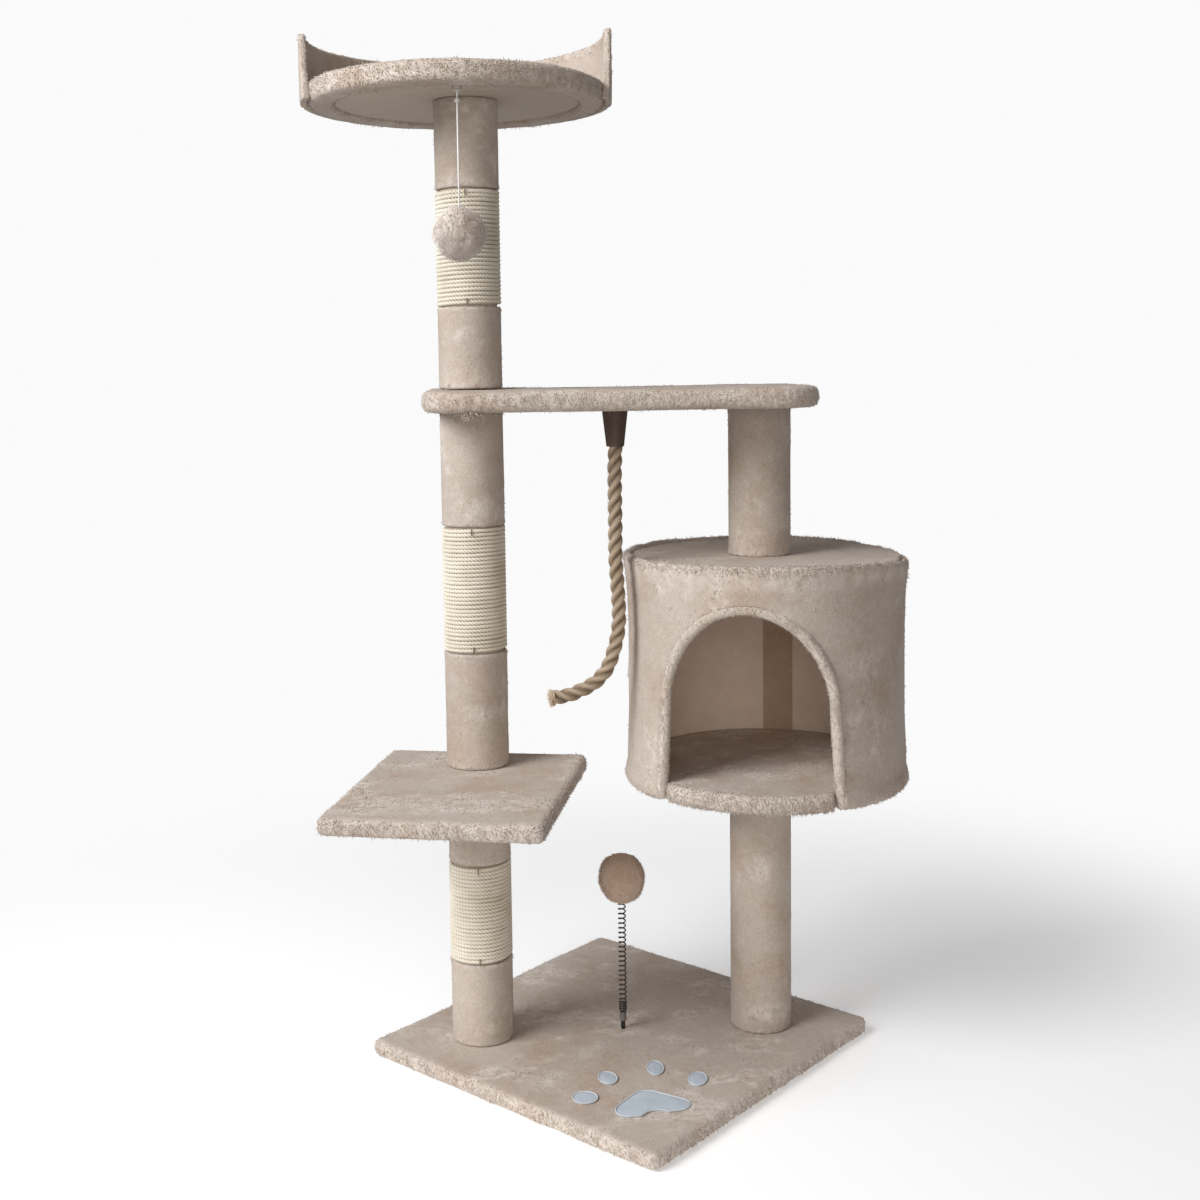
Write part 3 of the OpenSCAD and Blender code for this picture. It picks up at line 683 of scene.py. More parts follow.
# The rope's line in the plane of the plank, as in the CAD, in mm
ROPE_ROUTE = [
    (-6, 696.4), (-7, 670), (-7, 640), (-7, 606), (-7, 573), (-5, 540), (-4, 508), (-7, 484),
    (-15, 458), (-23, 445), (-34, 435), (-48, 428), (-62, 423), (-78, 421),
]  # fmt: skip
# how much of the rope is hidden in its socket, in mm
ROPE_HIDDEN = 12


def from_strand(angle, run):
    """The angle from the middle of the nearest of the three strands, which turn once in ROPE_LAY."""
    turn = angle - 2 * np.pi * run / ROPE_LAY
    return (turn + np.pi / 3) % (2 * np.pi / 3) - np.pi / 3


def make_rope():
    """Three strands laid right-handed, as one mesh whose outline turns along the rope."""
    inside_socket = (ROPE_ROUTE[0][0], ROPE_ROUTE[0][1] + ROPE_HIDDEN)
    route = [(x * MM, ROPE_Y, z * MM) for x, z in [inside_socket, *ROPE_ROUTE]]
    path = smooth_line(route, 1.3 * MM)
    outer = 0.95 * ROPE_D / 2
    strand = 0.54 * outer
    offset = outer - strand

    def radius(angle, run):
        off = from_strand(angle, run)
        return offset * np.cos(off) + np.sqrt(np.maximum(strand**2 - (offset * np.sin(off)) ** 2, 0))

    verts, faces, angle, run = swept(path, radius, 48)
    rope = shade_smooth(mesh_object("rope_three_strand", verts, faces))
    off = from_strand(angle, run)
    strand_twist = off * 2.4 + 2 * np.pi * run / (0.62 * ROPE_LAY)
    set_attribute(rope.data, "run", np.stack([strand_twist, run * 0.02, off], 1))
    # painted shade: darker from each strand's crown towards the grooves
    set_attribute(rope.data, "groove", 1 - np.abs(off) / (np.pi / 3))
    rope.data.materials.append(ROPE)
    return rope, path


def fibre_piece(name, tuft_mesh, values, material):
    """Loose fibres as one object, values giving how far up its fibre each corner is, for painted shade at the
    roots.
    """
    obj = joined(name, [tuft_mesh])
    set_attribute(obj.data, "groove", values)
    set_attribute(obj.data, "run", np.stack([values] * 3, 1))
    obj.data.materials.append(material)
    return obj


def make_rope_fray(path):
    """The rope's cut end, as three bundles of short pale tips, and fibres that stand off the strands."""
    rng = np.random.default_rng(5)
    end, back = path[-1], path[-4]
    along = (end - back) / np.linalg.norm(end - back)
    side = np.cross(along, (0, 1, 0))
    side /= np.linalg.norm(side)
    other = np.cross(along, side)
    count = 900
    strand = 2 * np.pi / 3 * rng.integers(0, 3, count)
    spot, reach = 2 * np.pi * rng.random(count), rng.random(count) ** 0.5 * 0.26 * ROPE_D
    across = 0.25 * ROPE_D * np.stack([np.cos(strand), np.sin(strand)], 1)
    across += reach[:, None] * np.stack([np.cos(spot), np.sin(spot)], 1)
    around = across[:, :1] * side + across[:, 1:] * other
    at = end - along * (1 * MM) + around
    flow = along + 28 * around + 0.22 * rng.normal(size=(count, 3))
    end_tufts = tufts(at, flow, (4.5 + 3.5 * rng.random(count)) * MM, np.full(count, 0.5 * MM), rng, 0.2)
    tips = fibre_piece("rope_cut_tips", end_tufts, tuft_values(0.3, 0.7, 1.0, count), ROPE_TIPS)
    stray = 520
    pick = rng.integers(12, len(path) - 2, stray)
    step = path[pick + 1] - path[pick]
    step /= np.linalg.norm(step, axis=1)[:, None]
    around = np.cross(step, rng.normal(size=(stray, 3)))
    around /= np.linalg.norm(around, axis=1)[:, None]
    flow = step * rng.choice([-1, 1], (stray, 1)) + 0.9 * around
    at = path[pick] + around * 0.42 * ROPE_D
    stray_tufts = tufts(at, flow, (2 + 3 * rng.random(stray)) * MM, np.full(stray, 0.15 * MM), rng, 0.2)
    fray = fibre_piece("rope_stray_fibres", stray_tufts, tuft_values(0.3, 0.6, 1.0, stray), ROPE)
    return [tips, fray]


rope, rope_path = make_rope()
rope_fibres = make_rope_fray(rope_path)
for piece in (rope, *rope_fibres):
    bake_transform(piece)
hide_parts("rope")

STRING_D = 2 * MM


def make_string():
    """Braided elastic, straight under the pom-pom's weight."""
    (x, y, _), (z0, z1) = middle("pompom_string"), heights("pompom_string")
    path = smooth_line([(x, y, z1 - (z1 - z0) * i / 16) for i in range(17)], 1.5 * MM)

    def radius(angle, run):
        return STRING_D / 2 * (0.94 + 0.08 * np.cos(4 * angle + run / (0.4 * MM)))

    verts, faces, _, _ = swept(path, radius, 12)
    string = shade_smooth(mesh_object("pompom_string_braid", verts, faces))
    string.data.materials.append(STRING)
    return string, path


def make_knot():
    """The knot that ties the string to its loop."""
    (x, y, _), z = middle("pompom_string"), top("pompom_string") - 3.4 * MM
    t = np.linspace(0, 2 * np.pi, 60)[:, None]
    r = 1.5 * MM
    path = np.hstack([
        x + r * (np.sin(t) + 2 * np.sin(2 * t)) / 2,
        y + r * (np.cos(t) - 2 * np.cos(2 * t)) / 2,
        z - r * np.sin(3 * t) * 0.8,
    ])
    verts, faces, _, _ = swept(path, lambda angle, run: np.full_like(angle, 0.75 * MM), 8)
    knot = shade_smooth(mesh_object("pompom_string_knot", verts, faces))
    knot.data.materials.append(STRING)
    return knot


string, string_path = make_string()
knot = make_knot()
for piece in (string, knot):
    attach(piece, "pompom_toy")
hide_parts("pompom_string")


# ---------- hanging pom-pom ----------


def make_pompom():
    """A ball of long pile, parted in a few places."""
    centre = middle("pompom")
    radius = size("pompom").z / 2
    rng = np.random.default_rng(11)
    obj, direction = ball("pompom_fluff")

    def lumpy(d):
        return 0.035 * noise(d, 0.5, 3) + 0.025 * noise(d, 0.2, 4)

    lumps = lumpy(direction) + 0.012 * noise(direction, 0.08, 5)
    parting = ramp(np.abs(noise(direction, 0.55, 9)), 0.0, 0.16)
    co = direction * (radius * (0.93 + lumps + 0.03 * parting))[:, None]
    set_verts(obj.data, co + np.array(centre))
    count = 9000
    u = rng.normal(size=(count, 3))
    u /= np.linalg.norm(u, axis=1)[:, None]
    part = ramp(np.abs(noise(u, 0.55, 9)), 0.0, 0.2)
    swirl = 0.5 * np.stack([noise(u, 0.5, s) for s in (21, 22, 23)], 1)
    length = radius * (0.12 + 0.08 * part + 0.05 * rng.random(count))
    flow = 0.6 * u + 1.3 * swirl + np.array([0, 0, -0.3]) + 0.16 * rng.normal(size=u.shape)
    at = np.array(centre) + u * (radius * (0.94 + lumpy(u)))[:, None]
    obj = with_tufts(obj, tufts(at, flow, length, np.full(count, 0.38 * MM), rng, 0.12))
    # painted shade: darker in the hollows between lumps and in the partings, painted light on the tuft tips,
    # and some painted sheen all over
    lift = np.clip(0.45 + 2.5 * lumps + 0.15 * parting, 0, 1)
    set_attribute(obj.data, "lift", np.concatenate([lift, tuft_values(0.4, 0.6, 0.85, count)]))
    set_attribute(obj.data, "brushed", np.full(len(obj.data.vertices), 0.35))
    shade_smooth(obj)
    dress(obj, "pompom_toy", "pompom_pile", POMPOM, "pompom")


make_pompom()


# ---------- spring toy ----------

SPRING_FOOT, SPRING_SPLIT, SPRING_TIP = 44 * MM, 88 * MM, 150 * MM
SPRING_WIRE_R = 0.8 * MM


def spring_line():
    """The coil's centreline: close turns at the foot, open above, a little closer again at the ball."""
    low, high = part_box("toy_spring")
    r = (high.x - low.x) / 2 - SPRING_WIRE_R
    turns, per_turn = 25.0, 28
    t = np.linspace(0, 1, int(turns * per_turn) + 1)
    # the first turns lie close, so height gained grows from a slow start
    gained = np.where(t < 0.16, 0.085 * t / 0.16, 0.085 + 0.915 * (t - 0.16) / 0.84)
    z = low.z + SPRING_WIRE_R + (high.z - low.z - 2 * SPRING_WIRE_R) * gained
    a = 2 * np.pi * turns * t
    x, y = (low.x + high.x) / 2, (low.y + high.y) / 2
    return np.stack([x + r * np.cos(a), y + r * np.sin(a), z], 1)


def make_spring():
    line = spring_line()
    split = int(np.searchsorted(line[:, 2], SPRING_SPLIT))
    halves = {
        "toy_spring_lower": (line[: split + 1], "stand", "wand_spring", SPRING_FOOT, SPRING_SPLIT),
        "toy_spring_upper": (line[split:], "wand_spring", "wand_ball", SPRING_SPLIT, SPRING_TIP),
    }
    for name, (path, near, far, z0, z1) in halves.items():
        verts, faces, _, _ = swept(path, lambda angle, run: np.full_like(angle, SPRING_WIRE_R), 8, (0, 0, 1))
        half = shade_smooth(mesh_object(name, verts, faces))
        half.data.materials.append(SPRING_STEEL)
        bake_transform(half)
        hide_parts("toy_spring")


def make_ball():
    """An egg-shaped stuffed ball, a little tilted, with a drawn-in seam at its back."""
    centre = middle("toy_ball")
    half_w, half_h = size("toy_ball").x / 2, size("toy_ball").z / 2
    obj, d = ball("toy_ball_cover")
    egg = 1 + 0.05 * d[:, 2]
    co = d * np.stack([half_w * egg, half_w * egg, np.full(len(d), half_h)], 1) * 0.965
    seam = np.exp(-((d[:, 0] * 0.8 + d[:, 2] * 0.25) / 0.035) ** 2) * ramp(d[:, 1], 0.0, 0.4)
    co *= (1 - 0.05 * seam + 0.012 * noise(d, 0.5, 2))[:, None]
    lean = np.array(Matrix.Rotation(math.radians(-7), 3, "Y"))
    set_verts(obj.data, co @ lean.T + np.array(centre))

    # shaggier towards its left and right sides, which the pile's painted sheen also paints paler there
    def rim(at, normal):
        return ramp(np.abs(normal[:, 0]) + 0.4 * np.abs(normal[:, 2]), 0.75, 1.1)

    obj = plush(obj, 31, 0.35, edge=rim, tuft_count=5200, tuft_mm=2.2, brushed=0.3)
    dress(obj, "wand_ball", "ball_felt", BALL, "toy_ball")


make_spring()
make_ball()


# ---------- posts ----------


def make_sleeve(name, seed):
    """Plush glued round the tube, its edges rolled in at both ends and its seam at the back."""
    low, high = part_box(name)
    x = (low.x + high.x) / 2
    r_out, r_in = (high.x - low.x) / 2, (high.x - low.x) / 2 - 3.4 * MM
    z0, z1 = low.z + 0.2 * MM, high.z - 0.2 * MM
    rows = max(8, int((z1 - z0) / VOXEL))
    roll = 2.2 * MM
    profile = [(r_in, z0), (r_out - roll, z0), (r_out - 0.5 * MM, z0 + 0.6 * MM)]
    profile += [(r_out, z0 + roll + (z1 - z0 - 2 * roll) * i / rows) for i in range(rows + 1)]
    profile += [(r_out - 0.5 * MM, z1 - 0.6 * MM), (r_out - roll, z1), (r_in, z1)]
    steps = int(2 * math.pi * r_out / VOXEL)
    obj = mesh_object(name + "_plush", *revolved(profile, steps, x))
    co, normal = vertex_arrays(obj.data)
    back = np.abs(np.arctan2(co[:, 0] - x, co[:, 1]))
    dent = np.exp(-((back * r_out / (1.6 * MM)) ** 2)) * (co[:, 1] > 0) * (normal[:, 1] > 0.3)
    set_verts(obj.data, co - normal * (1.1 * MM * dent)[:, None])

    def ends(at, n):
        near_end = np.minimum(at[:, 2] - z0, z1 - at[:, 2])
        return (1 - ramp(near_end, 1.5 * MM, 6 * MM)) * 0.8

    def inner(at, n):
        return (from_axis(at, x) < r_in + 0.8 * MM).astype(float)

    count = int(12000 * (z1 - z0))
    cover(obj, name, seed, 0.55, edge=ends, tuft_count=count, tuft_mm=1.8, bare=inner, brushed=0.42)


def make_sisal(name, seed):
    """One sisal rope wound from the band's bottom to its top, its strands laid along it."""
    low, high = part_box(name)
    x = (low.x + high.x) / 2
    pitch = 4.5 * MM
    turns = max(3, round((high.z - low.z) / pitch))
    pitch = (high.z - low.z) / turns
    rope_r = pitch / 2 * 1.02
    wound_r = (high.x - low.x) / 2 - rope_r
    per_turn = 190
    t = np.linspace(0.5 / turns, 1 - 0.5 / turns, (turns - 1) * per_turn + 1)
    a = 2 * np.pi * turns * t - math.pi / 2
    wander = 0.14 * MM * np.sin(a * 0.237 + seed) + 0.09 * MM * np.sin(a * 1.37)
    wander = wander + 0.05 * MM * np.sin(a * 3.71)
    from_end = np.minimum(a - a[0], a[-1] - a)
    wound_r = wound_r - 2.4 * MM * (1 - ramp(from_end, 0, 0.5))
    z = low.z + (high.z - low.z) * t + wander
    path = np.stack([x + wound_r * np.cos(a), wound_r * np.sin(a), z], 1)
    lay = 12 * MM

    def radius(angle, run):
        return rope_r * (0.87 + 0.24 * np.cos(3 * angle - 2 * np.pi * run * 3 / lay))

    verts, faces, angle, run = swept(path, radius, 12, (0, 0, 1))
    obj = shade_smooth(mesh_object(name + "_rope", verts, faces))
    twist = 3 * angle - 2 * np.pi * run * 3 / lay
    # painted shade: darker in the grooves between the strands
    set_attribute(obj.data, "groove", 0.5 + 0.5 * np.cos(twist))
    set_attribute(obj.data, "run", np.stack([twist, run, angle], 1))
    dress(obj, "stand", "sisal", SISAL, name)


SLEEVES = [n for n in NODES if n.startswith("sleeve_")]
for seed, name in enumerate(sorted(SLEEVES)):
    make_sleeve(name, 100 + 7 * seed)
for seed, name in enumerate(["sisal_wrap_lower", "sisal_wrap_middle", "sisal_wrap_upper"]):
    make_sisal(name, seed)


# ---------- covered boards ----------


def cushioned(name, parts, reach, rise=0.8 * MM):
    """A board's cover as one even mesh, its top rising and falling by rise over about reach."""
    obj = remeshed(joined(name, parts), VOXEL)
    co, normal = vertex_arrays(obj.data)
    upper = ramp(normal[:, 2], 0.3, 0.9)
    co[:, 2] += upper * rise * noise(co, reach, 77)
    set_verts(obj.data, co)
    return obj


def make_base():
    z0, z1 = heights("base_cover")
    turn = Matrix.Rotation(math.radians(45), 4, "Z")
    part = slab(BASE_SIDE, BASE_SIDE, 7 * MM, z0 + 0.6 * MM, z1 - 0.3 * MM, 6 * MM, turn)
    obj = cushioned("base_plush", [part], 0.07)
    obj = cover(obj, "base_cover", 201, 1.0, edge=side_edge, tuft_count=12000, tuft_mm=2.6, brushed=0.62)
    # pile that would reach the floor is pressed flat just above it
    co, _ = vertex_arrays(obj.data)
    pressed = 1 * MM
    low = co[:, 2] < pressed
    co[low, 2] = pressed * np.exp((co[low, 2] - pressed) / pressed)
    set_verts(obj.data, co)


def make_shelf():
    z0, z1 = heights("shelf_cover")
    place = (
        Matrix.Translation((LEFT_X, 0, 0))
        @ Matrix.Rotation(SHELF_TURN, 4, "Z")
        @ Matrix.Translation((0, SHELF_BACK - SHELF_D / 2, 0))
    )
    part = slab(SHELF_W + 3 * MM, SHELF_D + 2 * MM, 6 * MM, z0, z1 - 0.5 * MM, 6 * MM, place)
    obj = cushioned("shelf_plush", [part], 0.06)
    cover(obj, "shelf_cover", 211, 1.0, edge=side_edge, tuft_count=9000, tuft_mm=2.6, brushed=0.65)


def make_plank():
    low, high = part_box("plank_cover")
    part = slab(high.x - low.x, high.y - low.y, 50 * MM, low.z + 0.6 * MM, high.z - 1.6 * MM, 9 * MM)
    obj = cushioned("plank_plush", [part], 0.07)
    cover(obj, "plank_cover", 221, 0.9, edge=side_edge, tuft_count=9000, tuft_mm=2.2)


def make_perch():
    """The perch's cover: a padded top, a full rim, and a strip folded under the board's edge."""
    fold_z, z1 = heights("perch_cover")
    board_z = bottom("perch_board")
    bare_r = 135 * MM
    upper = disc(PERCH_R, board_z + 5 * MM, z1 + 2.6 * MM, 8 * MM, PERCH.x, PERCH.y)
    r = PERCH_R
    fold = revolved(
        [(bare_r, board_z + 1.5 * MM), (bare_r, board_z - 1 * MM), (bare_r + 3 * MM, fold_z + 1 * MM),
         (bare_r + 10 * MM, fold_z), (r - 8 * MM, fold_z + 0.3 * MM), (r - 2.5 * MM, fold_z + 3 * MM),
         (r, fold_z + 8 * MM), (r - 1 * MM, board_z + 8 * MM), (r - 14 * MM, board_z + 6 * MM)],
        160, PERCH.x, PERCH.y,
    )  # fmt: skip
    obj = remeshed(joined("perch_plush", [upper, fold]), VOXEL)
    co, normal = vertex_arrays(obj.data)
    angle = np.arctan2(co[:, 1] - PERCH.y, co[:, 0] - PERCH.x)
    under = ramp(board_z + 1 * MM - co[:, 2], 0, 3 * MM)
    around = np.stack([np.cos(angle), np.sin(angle), np.zeros_like(angle)], 1)
    co[:, 2] += under * (0.9 * MM * noise(around, 0.25, 41) - 0.4 * MM)
    set_verts(obj.data, co)

    def rim(at, n):
        out = np.hypot(at[:, 0] - PERCH.x, at[:, 1] - PERCH.y)
        return side_edge(at, n) * ramp(out, 0.13, 0.14)

    cover(obj, "perch_cover", 231, 1.0, edge=rim, tuft_count=9500, tuft_mm=2.8, brushed=0.5)


def make_wing(name, mirror, rise, seed):
    """An upright bent panel covered in plush. Its front end is slanted, and its tip raised by rise."""
    low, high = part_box(name)
    r0, r1 = PERCH_R + 0.3 * MM, PERCH_R + 8.3 * MM
    z0, z1 = low.z, high.z
    columns, rows = 90, 24
    front_y = r0 * math.sin(WING_FRONT)
    verts, faces = [], []
    for i in range(columns + 1):
        for j in range(rows + 1):
            z = z0 + (z1 - z0) * j / rows
            raised = z + rise * (j / rows) * (1 - i / columns)
            start = math.asin((front_y + WING_SLANT * (z - z0) / (z1 - z0)) / r0)
            # the back end leans forward towards its top
            end = WING_BACK - 0.05 * (z - z0) / (z1 - z0)
            a = start + (end - start) * i / columns
            for r in (r0, r1):
                verts.append((PERCH.x + mirror * r * math.cos(a), PERCH.y + r * math.sin(a), raised))

    def at(i, j, k):
        return 2 * (i * (rows + 1) + j) + k

    for i in range(columns):
        for j in range(rows):
            faces.append([at(i, j, 0), at(i, j + 1, 0), at(i + 1, j + 1, 0), at(i + 1, j, 0)])
            faces.append([at(i, j, 1), at(i + 1, j, 1), at(i + 1, j + 1, 1), at(i, j + 1, 1)])
        for j, flip in ((0, 1), (rows, 0)):
            quad = [at(i, j, 0), at(i, j, 1), at(i + 1, j, 1), at(i + 1, j, 0)]
            faces.append(quad if flip else quad[::-1])
    for j in range(rows):
        for i, flip in ((0, 0), (columns, 1)):
            quad = [at(i, j, 0), at(i, j, 1), at(i, j + 1, 1), at(i, j + 1, 0)]
            faces.append(quad[::-1] if flip else quad)
    if mirror > 0:
        faces = [f[::-1] for f in faces]
    obj = remeshed(joined(name + "_plush", [(verts, faces)]), VOXEL, 2)

    # shaggy along the top and on faces turned to the front, and painted paler there by the pile's painted
    # sheen
    def top_edge(at_, n):
        return np.maximum(ramp(at_[:, 2], z1 - 9 * MM, z1 - 3 * MM), ramp(-n[:, 1], 0.6, 0.9) * 0.8)

    cover(obj, name, seed, 0.6, edge=top_edge, tuft_count=1800, tuft_mm=2.0, brushed=0.15)


def make_loose_tuft():
    """A tuft of pile that hangs loose from the plank's underside, in front of the post."""
    rng = np.random.default_rng(61)
    count = 240
    spread = rng.normal(size=(count, 3)) * np.array([4.5, 2.5, 0.8]) * MM
    at = np.array([LEFT_X - 1 * MM, -99 * MM, bottom("plank_cover") + 0.5 * MM]) + spread
    flow = np.array([0, 0, -1.0]) + 0.55 * rng.normal(size=(count, 3))
    pile = tufts(at, flow, (4 + 7 * rng.random(count)) * MM, np.full(count, 0.7 * MM), rng)
    obj = joined("plank_loose_tuft", [pile])
    # painted shade at the tufts' roots, painted light at their tips, and a painted sheen
    set_attribute(obj.data, "lift", tuft_values(0.45, 0.6, 0.85, count))
    set_attribute(obj.data, "brushed", np.full(7 * count, 0.7))
    dress(shade_smooth(obj), "stand", "plush", PLUSH)


def make_perch_staples():
    """Staples that hold the fold to the board, close to its inner edge and not quite in line."""
    rng = np.random.default_rng(71)
    parts, staples = [], 44
    z = bottom("perch_board") - 1.7 * MM
    for i in range(staples):
        a = 2 * math.pi * (i + 0.5 * rng.random()) / staples
        r = (137 + 2 * rng.random()) * MM
        spot = Matrix.Translation((PERCH.x + r * math.cos(a), PERCH.y + r * math.sin(a), 0))
        place = spot @ Matrix.Rotation(a + math.pi / 2 + 0.5 * (rng.random() - 0.5), 4, "Z")
        parts.append(slab(11 * MM, 1.3 * MM, 0.3 * MM, z, z + 1.2 * MM, 0.25 * MM, place, steps=2))
    dress(joined("perch_staples", parts), "stand", "steel", STAPLE)


make_loose_tuft()
make_perch_staples()
make_base()
make_shelf()
make_plank()
make_perch()
make_wing("wing_cover_left", -1, -3 * MM, 241)
make_wing("wing_cover_right", 1, 4 * MM, 242)


# ---------- condo ----------


def door_outline(grow, steps=28):
    """The doorway's edge from its left foot over the arch to its right foot: (across, height) points."""
    spring_line_z = DOOR_TOP - DOOR_ARCH_H
    foot = bottom("condo_wall_plush")
    half, arch = DOOR_HALF_W + grow, DOOR_ARCH_H + grow
    left = [(-half - DOOR_FLARE * (1 - i / 12), foot + (spring_line_z - foot) * i / 12) for i in range(12)]
    over = [
        (-half * math.cos(math.pi * i / steps), spring_line_z + arch * math.sin(math.pi * i / steps))
        for i in range(steps + 1)
    ]
    return left + over + [(-x, z) for x, z in reversed(left)]


def door_cutter():
    """A block with the doorway's outline that reaches through the wall and below its foot."""
    outline = door_outline(BINDING_T - 3 * MM)
    for end in (0, -1):
        s, z = outline[end]
        outline[end] = (s, z - 30 * MM)
    centre = Vector((CONDO_X, 0, 0))
    verts = [
        centre + DOOR_OUT * depth + DOOR_ACROSS * s + Vector((0, 0, z))
        for depth in (0.07, 0.22)
        for s, z in outline
    ]
    return mesh_object("door_cutter", verts, ring_faces(2, len(outline), clockwise=True))


def make_condo_wall():
    """The wall's cover: thick fluffy hems above and below a smooth, slightly waisted side."""
    z0, z1 = heights("condo_wall_plush")
    waist, inner = 155.8 * MM, 152.2 * MM
    mid = (z0 + z1) / 2
    outline = [
        (inner, z0), (CONDO_R - 5 * MM, z0), (CONDO_R - 1.2 * MM, z0 + 2 * MM), (CONDO_R, z0 + 6 * MM),
        (CONDO_R - 0.4 * MM, z0 + 13 * MM), (CONDO_R - 2.5 * MM, z0 + 20 * MM),
        (waist + 2 * MM, z0 + 42 * MM), (waist + 0.4 * MM, z0 + 80 * MM), (waist, mid),
        (waist + 0.5 * MM, z1 - 80 * MM), (waist + 1.4 * MM, z1 - 48 * MM), (waist + 2.6 * MM, z1 - 32 * MM),
        (CONDO_R - 1.6 * MM, z1 - 19 * MM), (CONDO_R - 0.3 * MM, z1 - 12 * MM),
        (CONDO_R, z1 - 6 * MM), (CONDO_R - 1.8 * MM, z1 - 1.2 * MM),
        (CONDO_R - 5 * MM, z1), (inner, z1 - 1 * MM), (inner, mid),
    ]  # fmt: skip
    obj = mesh_object("condo_wall_cover", *revolved(outline, 220, CONDO_X))
    cutter = door_cutter()
    cut = obj.modifiers.new("door", "BOOLEAN")
    cut.operation = "DIFFERENCE"
    cut.solver = "EXACT"
    cut.object = cutter
    bake_modifiers(obj)
    bpy.data.objects.remove(cutter)
    obj = remeshed(obj, VOXEL, 2)
    co, normal = vertex_arrays(obj.data)
    angle = np.arctan2(co[:, 1], co[:, 0] - CONDO_X)
    high = ramp(co[:, 2], z1 - 45 * MM, z1)
    droop = np.exp(-((angle / 0.75) ** 2))
    co[:, 2] -= high * 8 * MM * droop
    co[:, 2] += high * 2.5 * MM * np.exp(-(((angle + math.pi / 2) / 0.9) ** 2))
    round_way = np.stack([np.cos(angle), np.sin(angle), co[:, 2] * 0], 1)
    co[:, 2] += high * 1.2 * MM * noise(round_way, 0.12, 51)
    swell = 0.8 * MM * noise(np.column_stack([round_way[:, :2], co[:, 2] * 5]), 0.35, 52)
    co += normal * (swell * (from_axis(co, CONDO_X) > inner + 1.5 * MM))[:, None]
    set_verts(obj.data, co)

    def hems(at, n):
        upper = ramp(at[:, 2], z1 - 9 * MM, z1 - 3 * MM)
        lower = 1 - ramp(at[:, 2], z0 + 3 * MM, z0 + 12 * MM)
        return np.maximum(upper, 0.4 * lower)

    def inside(at, n):
        return (from_axis(at, CONDO_X) < inner + 1 * MM).astype(float)

    # a painted sheen on the band below the top hem
    def hem_top_sheen(at, n):
        return 0.8 * ramp(at[:, 2], z1 - 30 * MM, z1 - 14 * MM)

    cover(
        obj, "condo_wall_plush", 301, 0.6,
        edge=hems, tuft_count=9000, tuft_mm=2.8, bare=inside, brushed=0.36, pale=hem_top_sheen,
    )  # fmt: skip


def make_door_binding():
    """A soft roll of plush folded over the doorway's edge, following the wall's curve."""
    wall_r = 153.5 * MM
    line = []
    foot = bottom("condo_wall_plush") + 1.5 * MM
    for s, z in door_outline(5.5 * MM):
        a = DOOR_TURN + math.asin(s / wall_r)
        line.append((CONDO_X + wall_r * math.cos(a), wall_r * math.sin(a), max(z, foot)))
    path = smooth_line(line, VOXEL)

    def radius(angle, run):
        return (5.9 * MM + 0.4 * MM * np.sin(run / (23 * MM))) * np.ones_like(angle)

    verts, faces, _, _ = swept(path, radius, 20, tuple(DOOR_OUT))
    obj = remeshed(joined("condo_door_roll", [(verts, faces)]), 1.7 * MM, 1)

    def all_over(at, n):
        return 0.9 * np.ones(len(at))

    cover(obj, "condo_door_binding", 311, 0.45, edge=all_over, tuft_count=6500, tuft_mm=2.2)


def make_condo_floor():
    """A round cover with a shaggy sill that reaches out through the doorway."""
    z0, z1 = heights("condo_floor_cover")
    r = 148.6 * MM
    board = disc(r, z0, z1, 5 * MM, CONDO_X)
    sill_r = CONDO_R - 2 * MM
    half = DOOR_HALF_W + 3 * MM
    outline = []
    for i in range(25):
        s = -half + 2 * half * i / 24
        outline.append((s, math.sqrt(sill_r**2 - s * s)))
    # the sill's inner end is hidden in the board's cover
    hidden = 0.09
    outline += [(half, hidden), (-half, hidden)]
    rings = [(4 * MM, z0), (0, z0 + 5 * MM), (0, z1 - 6 * MM), (5 * MM, z1)]
    verts = []
    for inset, z in rings:
        for s, depth in outline:
            reach = depth - (inset if depth > hidden else 0)
            verts.append(Vector((CONDO_X, 0, z)) + DOOR_ACROSS * s + DOOR_OUT * reach)
    faces = ring_faces(len(rings), len(outline), clockwise=True)
    obj = remeshed(joined("condo_floor_plush", [board, (verts, faces)]), VOXEL)

    def sill(at, normal):
        return ramp(from_axis(at, CONDO_X), 0.150, 0.154)

    cover(obj, "condo_floor_cover", 321, 1.0, edge=sill, tuft_count=6000, tuft_mm=2.8, brushed=0.5)


def make_condo_roof():
    z0, z1 = heights("condo_roof_cover")
    obj = remeshed(joined("condo_roof_plush", [disc(151.8 * MM, z0, z1, 4 * MM, CONDO_X)]), VOXEL)

    def rim(at, n):
        return ramp(from_axis(at, CONDO_X), 0.140, 0.150)

    cover(obj, "condo_roof_cover", 331, 1.0, edge=rim, tuft_count=6000, tuft_mm=2.8)


make_condo_wall()
make_door_binding()
make_condo_floor()
make_condo_roof()


# ---------- paw ----------

# each toe's place, half width, half length and turn, and each lobe's place and radius, in mm and degrees
PAW_TOES = [
    (-58, -166, 14.5, 14.5, 0),
    (-30, -124, 11, 15.5, 8),
    (24, -106, 10, 18, -4),
    (66, -136, 11, 17, -14),
]
PAW_LOBES = [(-15, -197, 14), (7, -173, 16), (37, -190, 12.5)]
PAW_NOTCH = (13, -217, 17)


def pad_outline(steps=96):
    """The pad's edge: round three lobes, and in round the notch at its heel."""
    centre = np.mean([lobe[:2] for lobe in PAW_LOBES], axis=0)
    points = []
    for i in range(steps):
        d = np.array([math.cos(2 * math.pi * i / steps), math.sin(2 * math.pi * i / steps)])
        reach = max(support_ray(centre, d), 0)
        points.append(tuple(centre + reach * d))
    return points


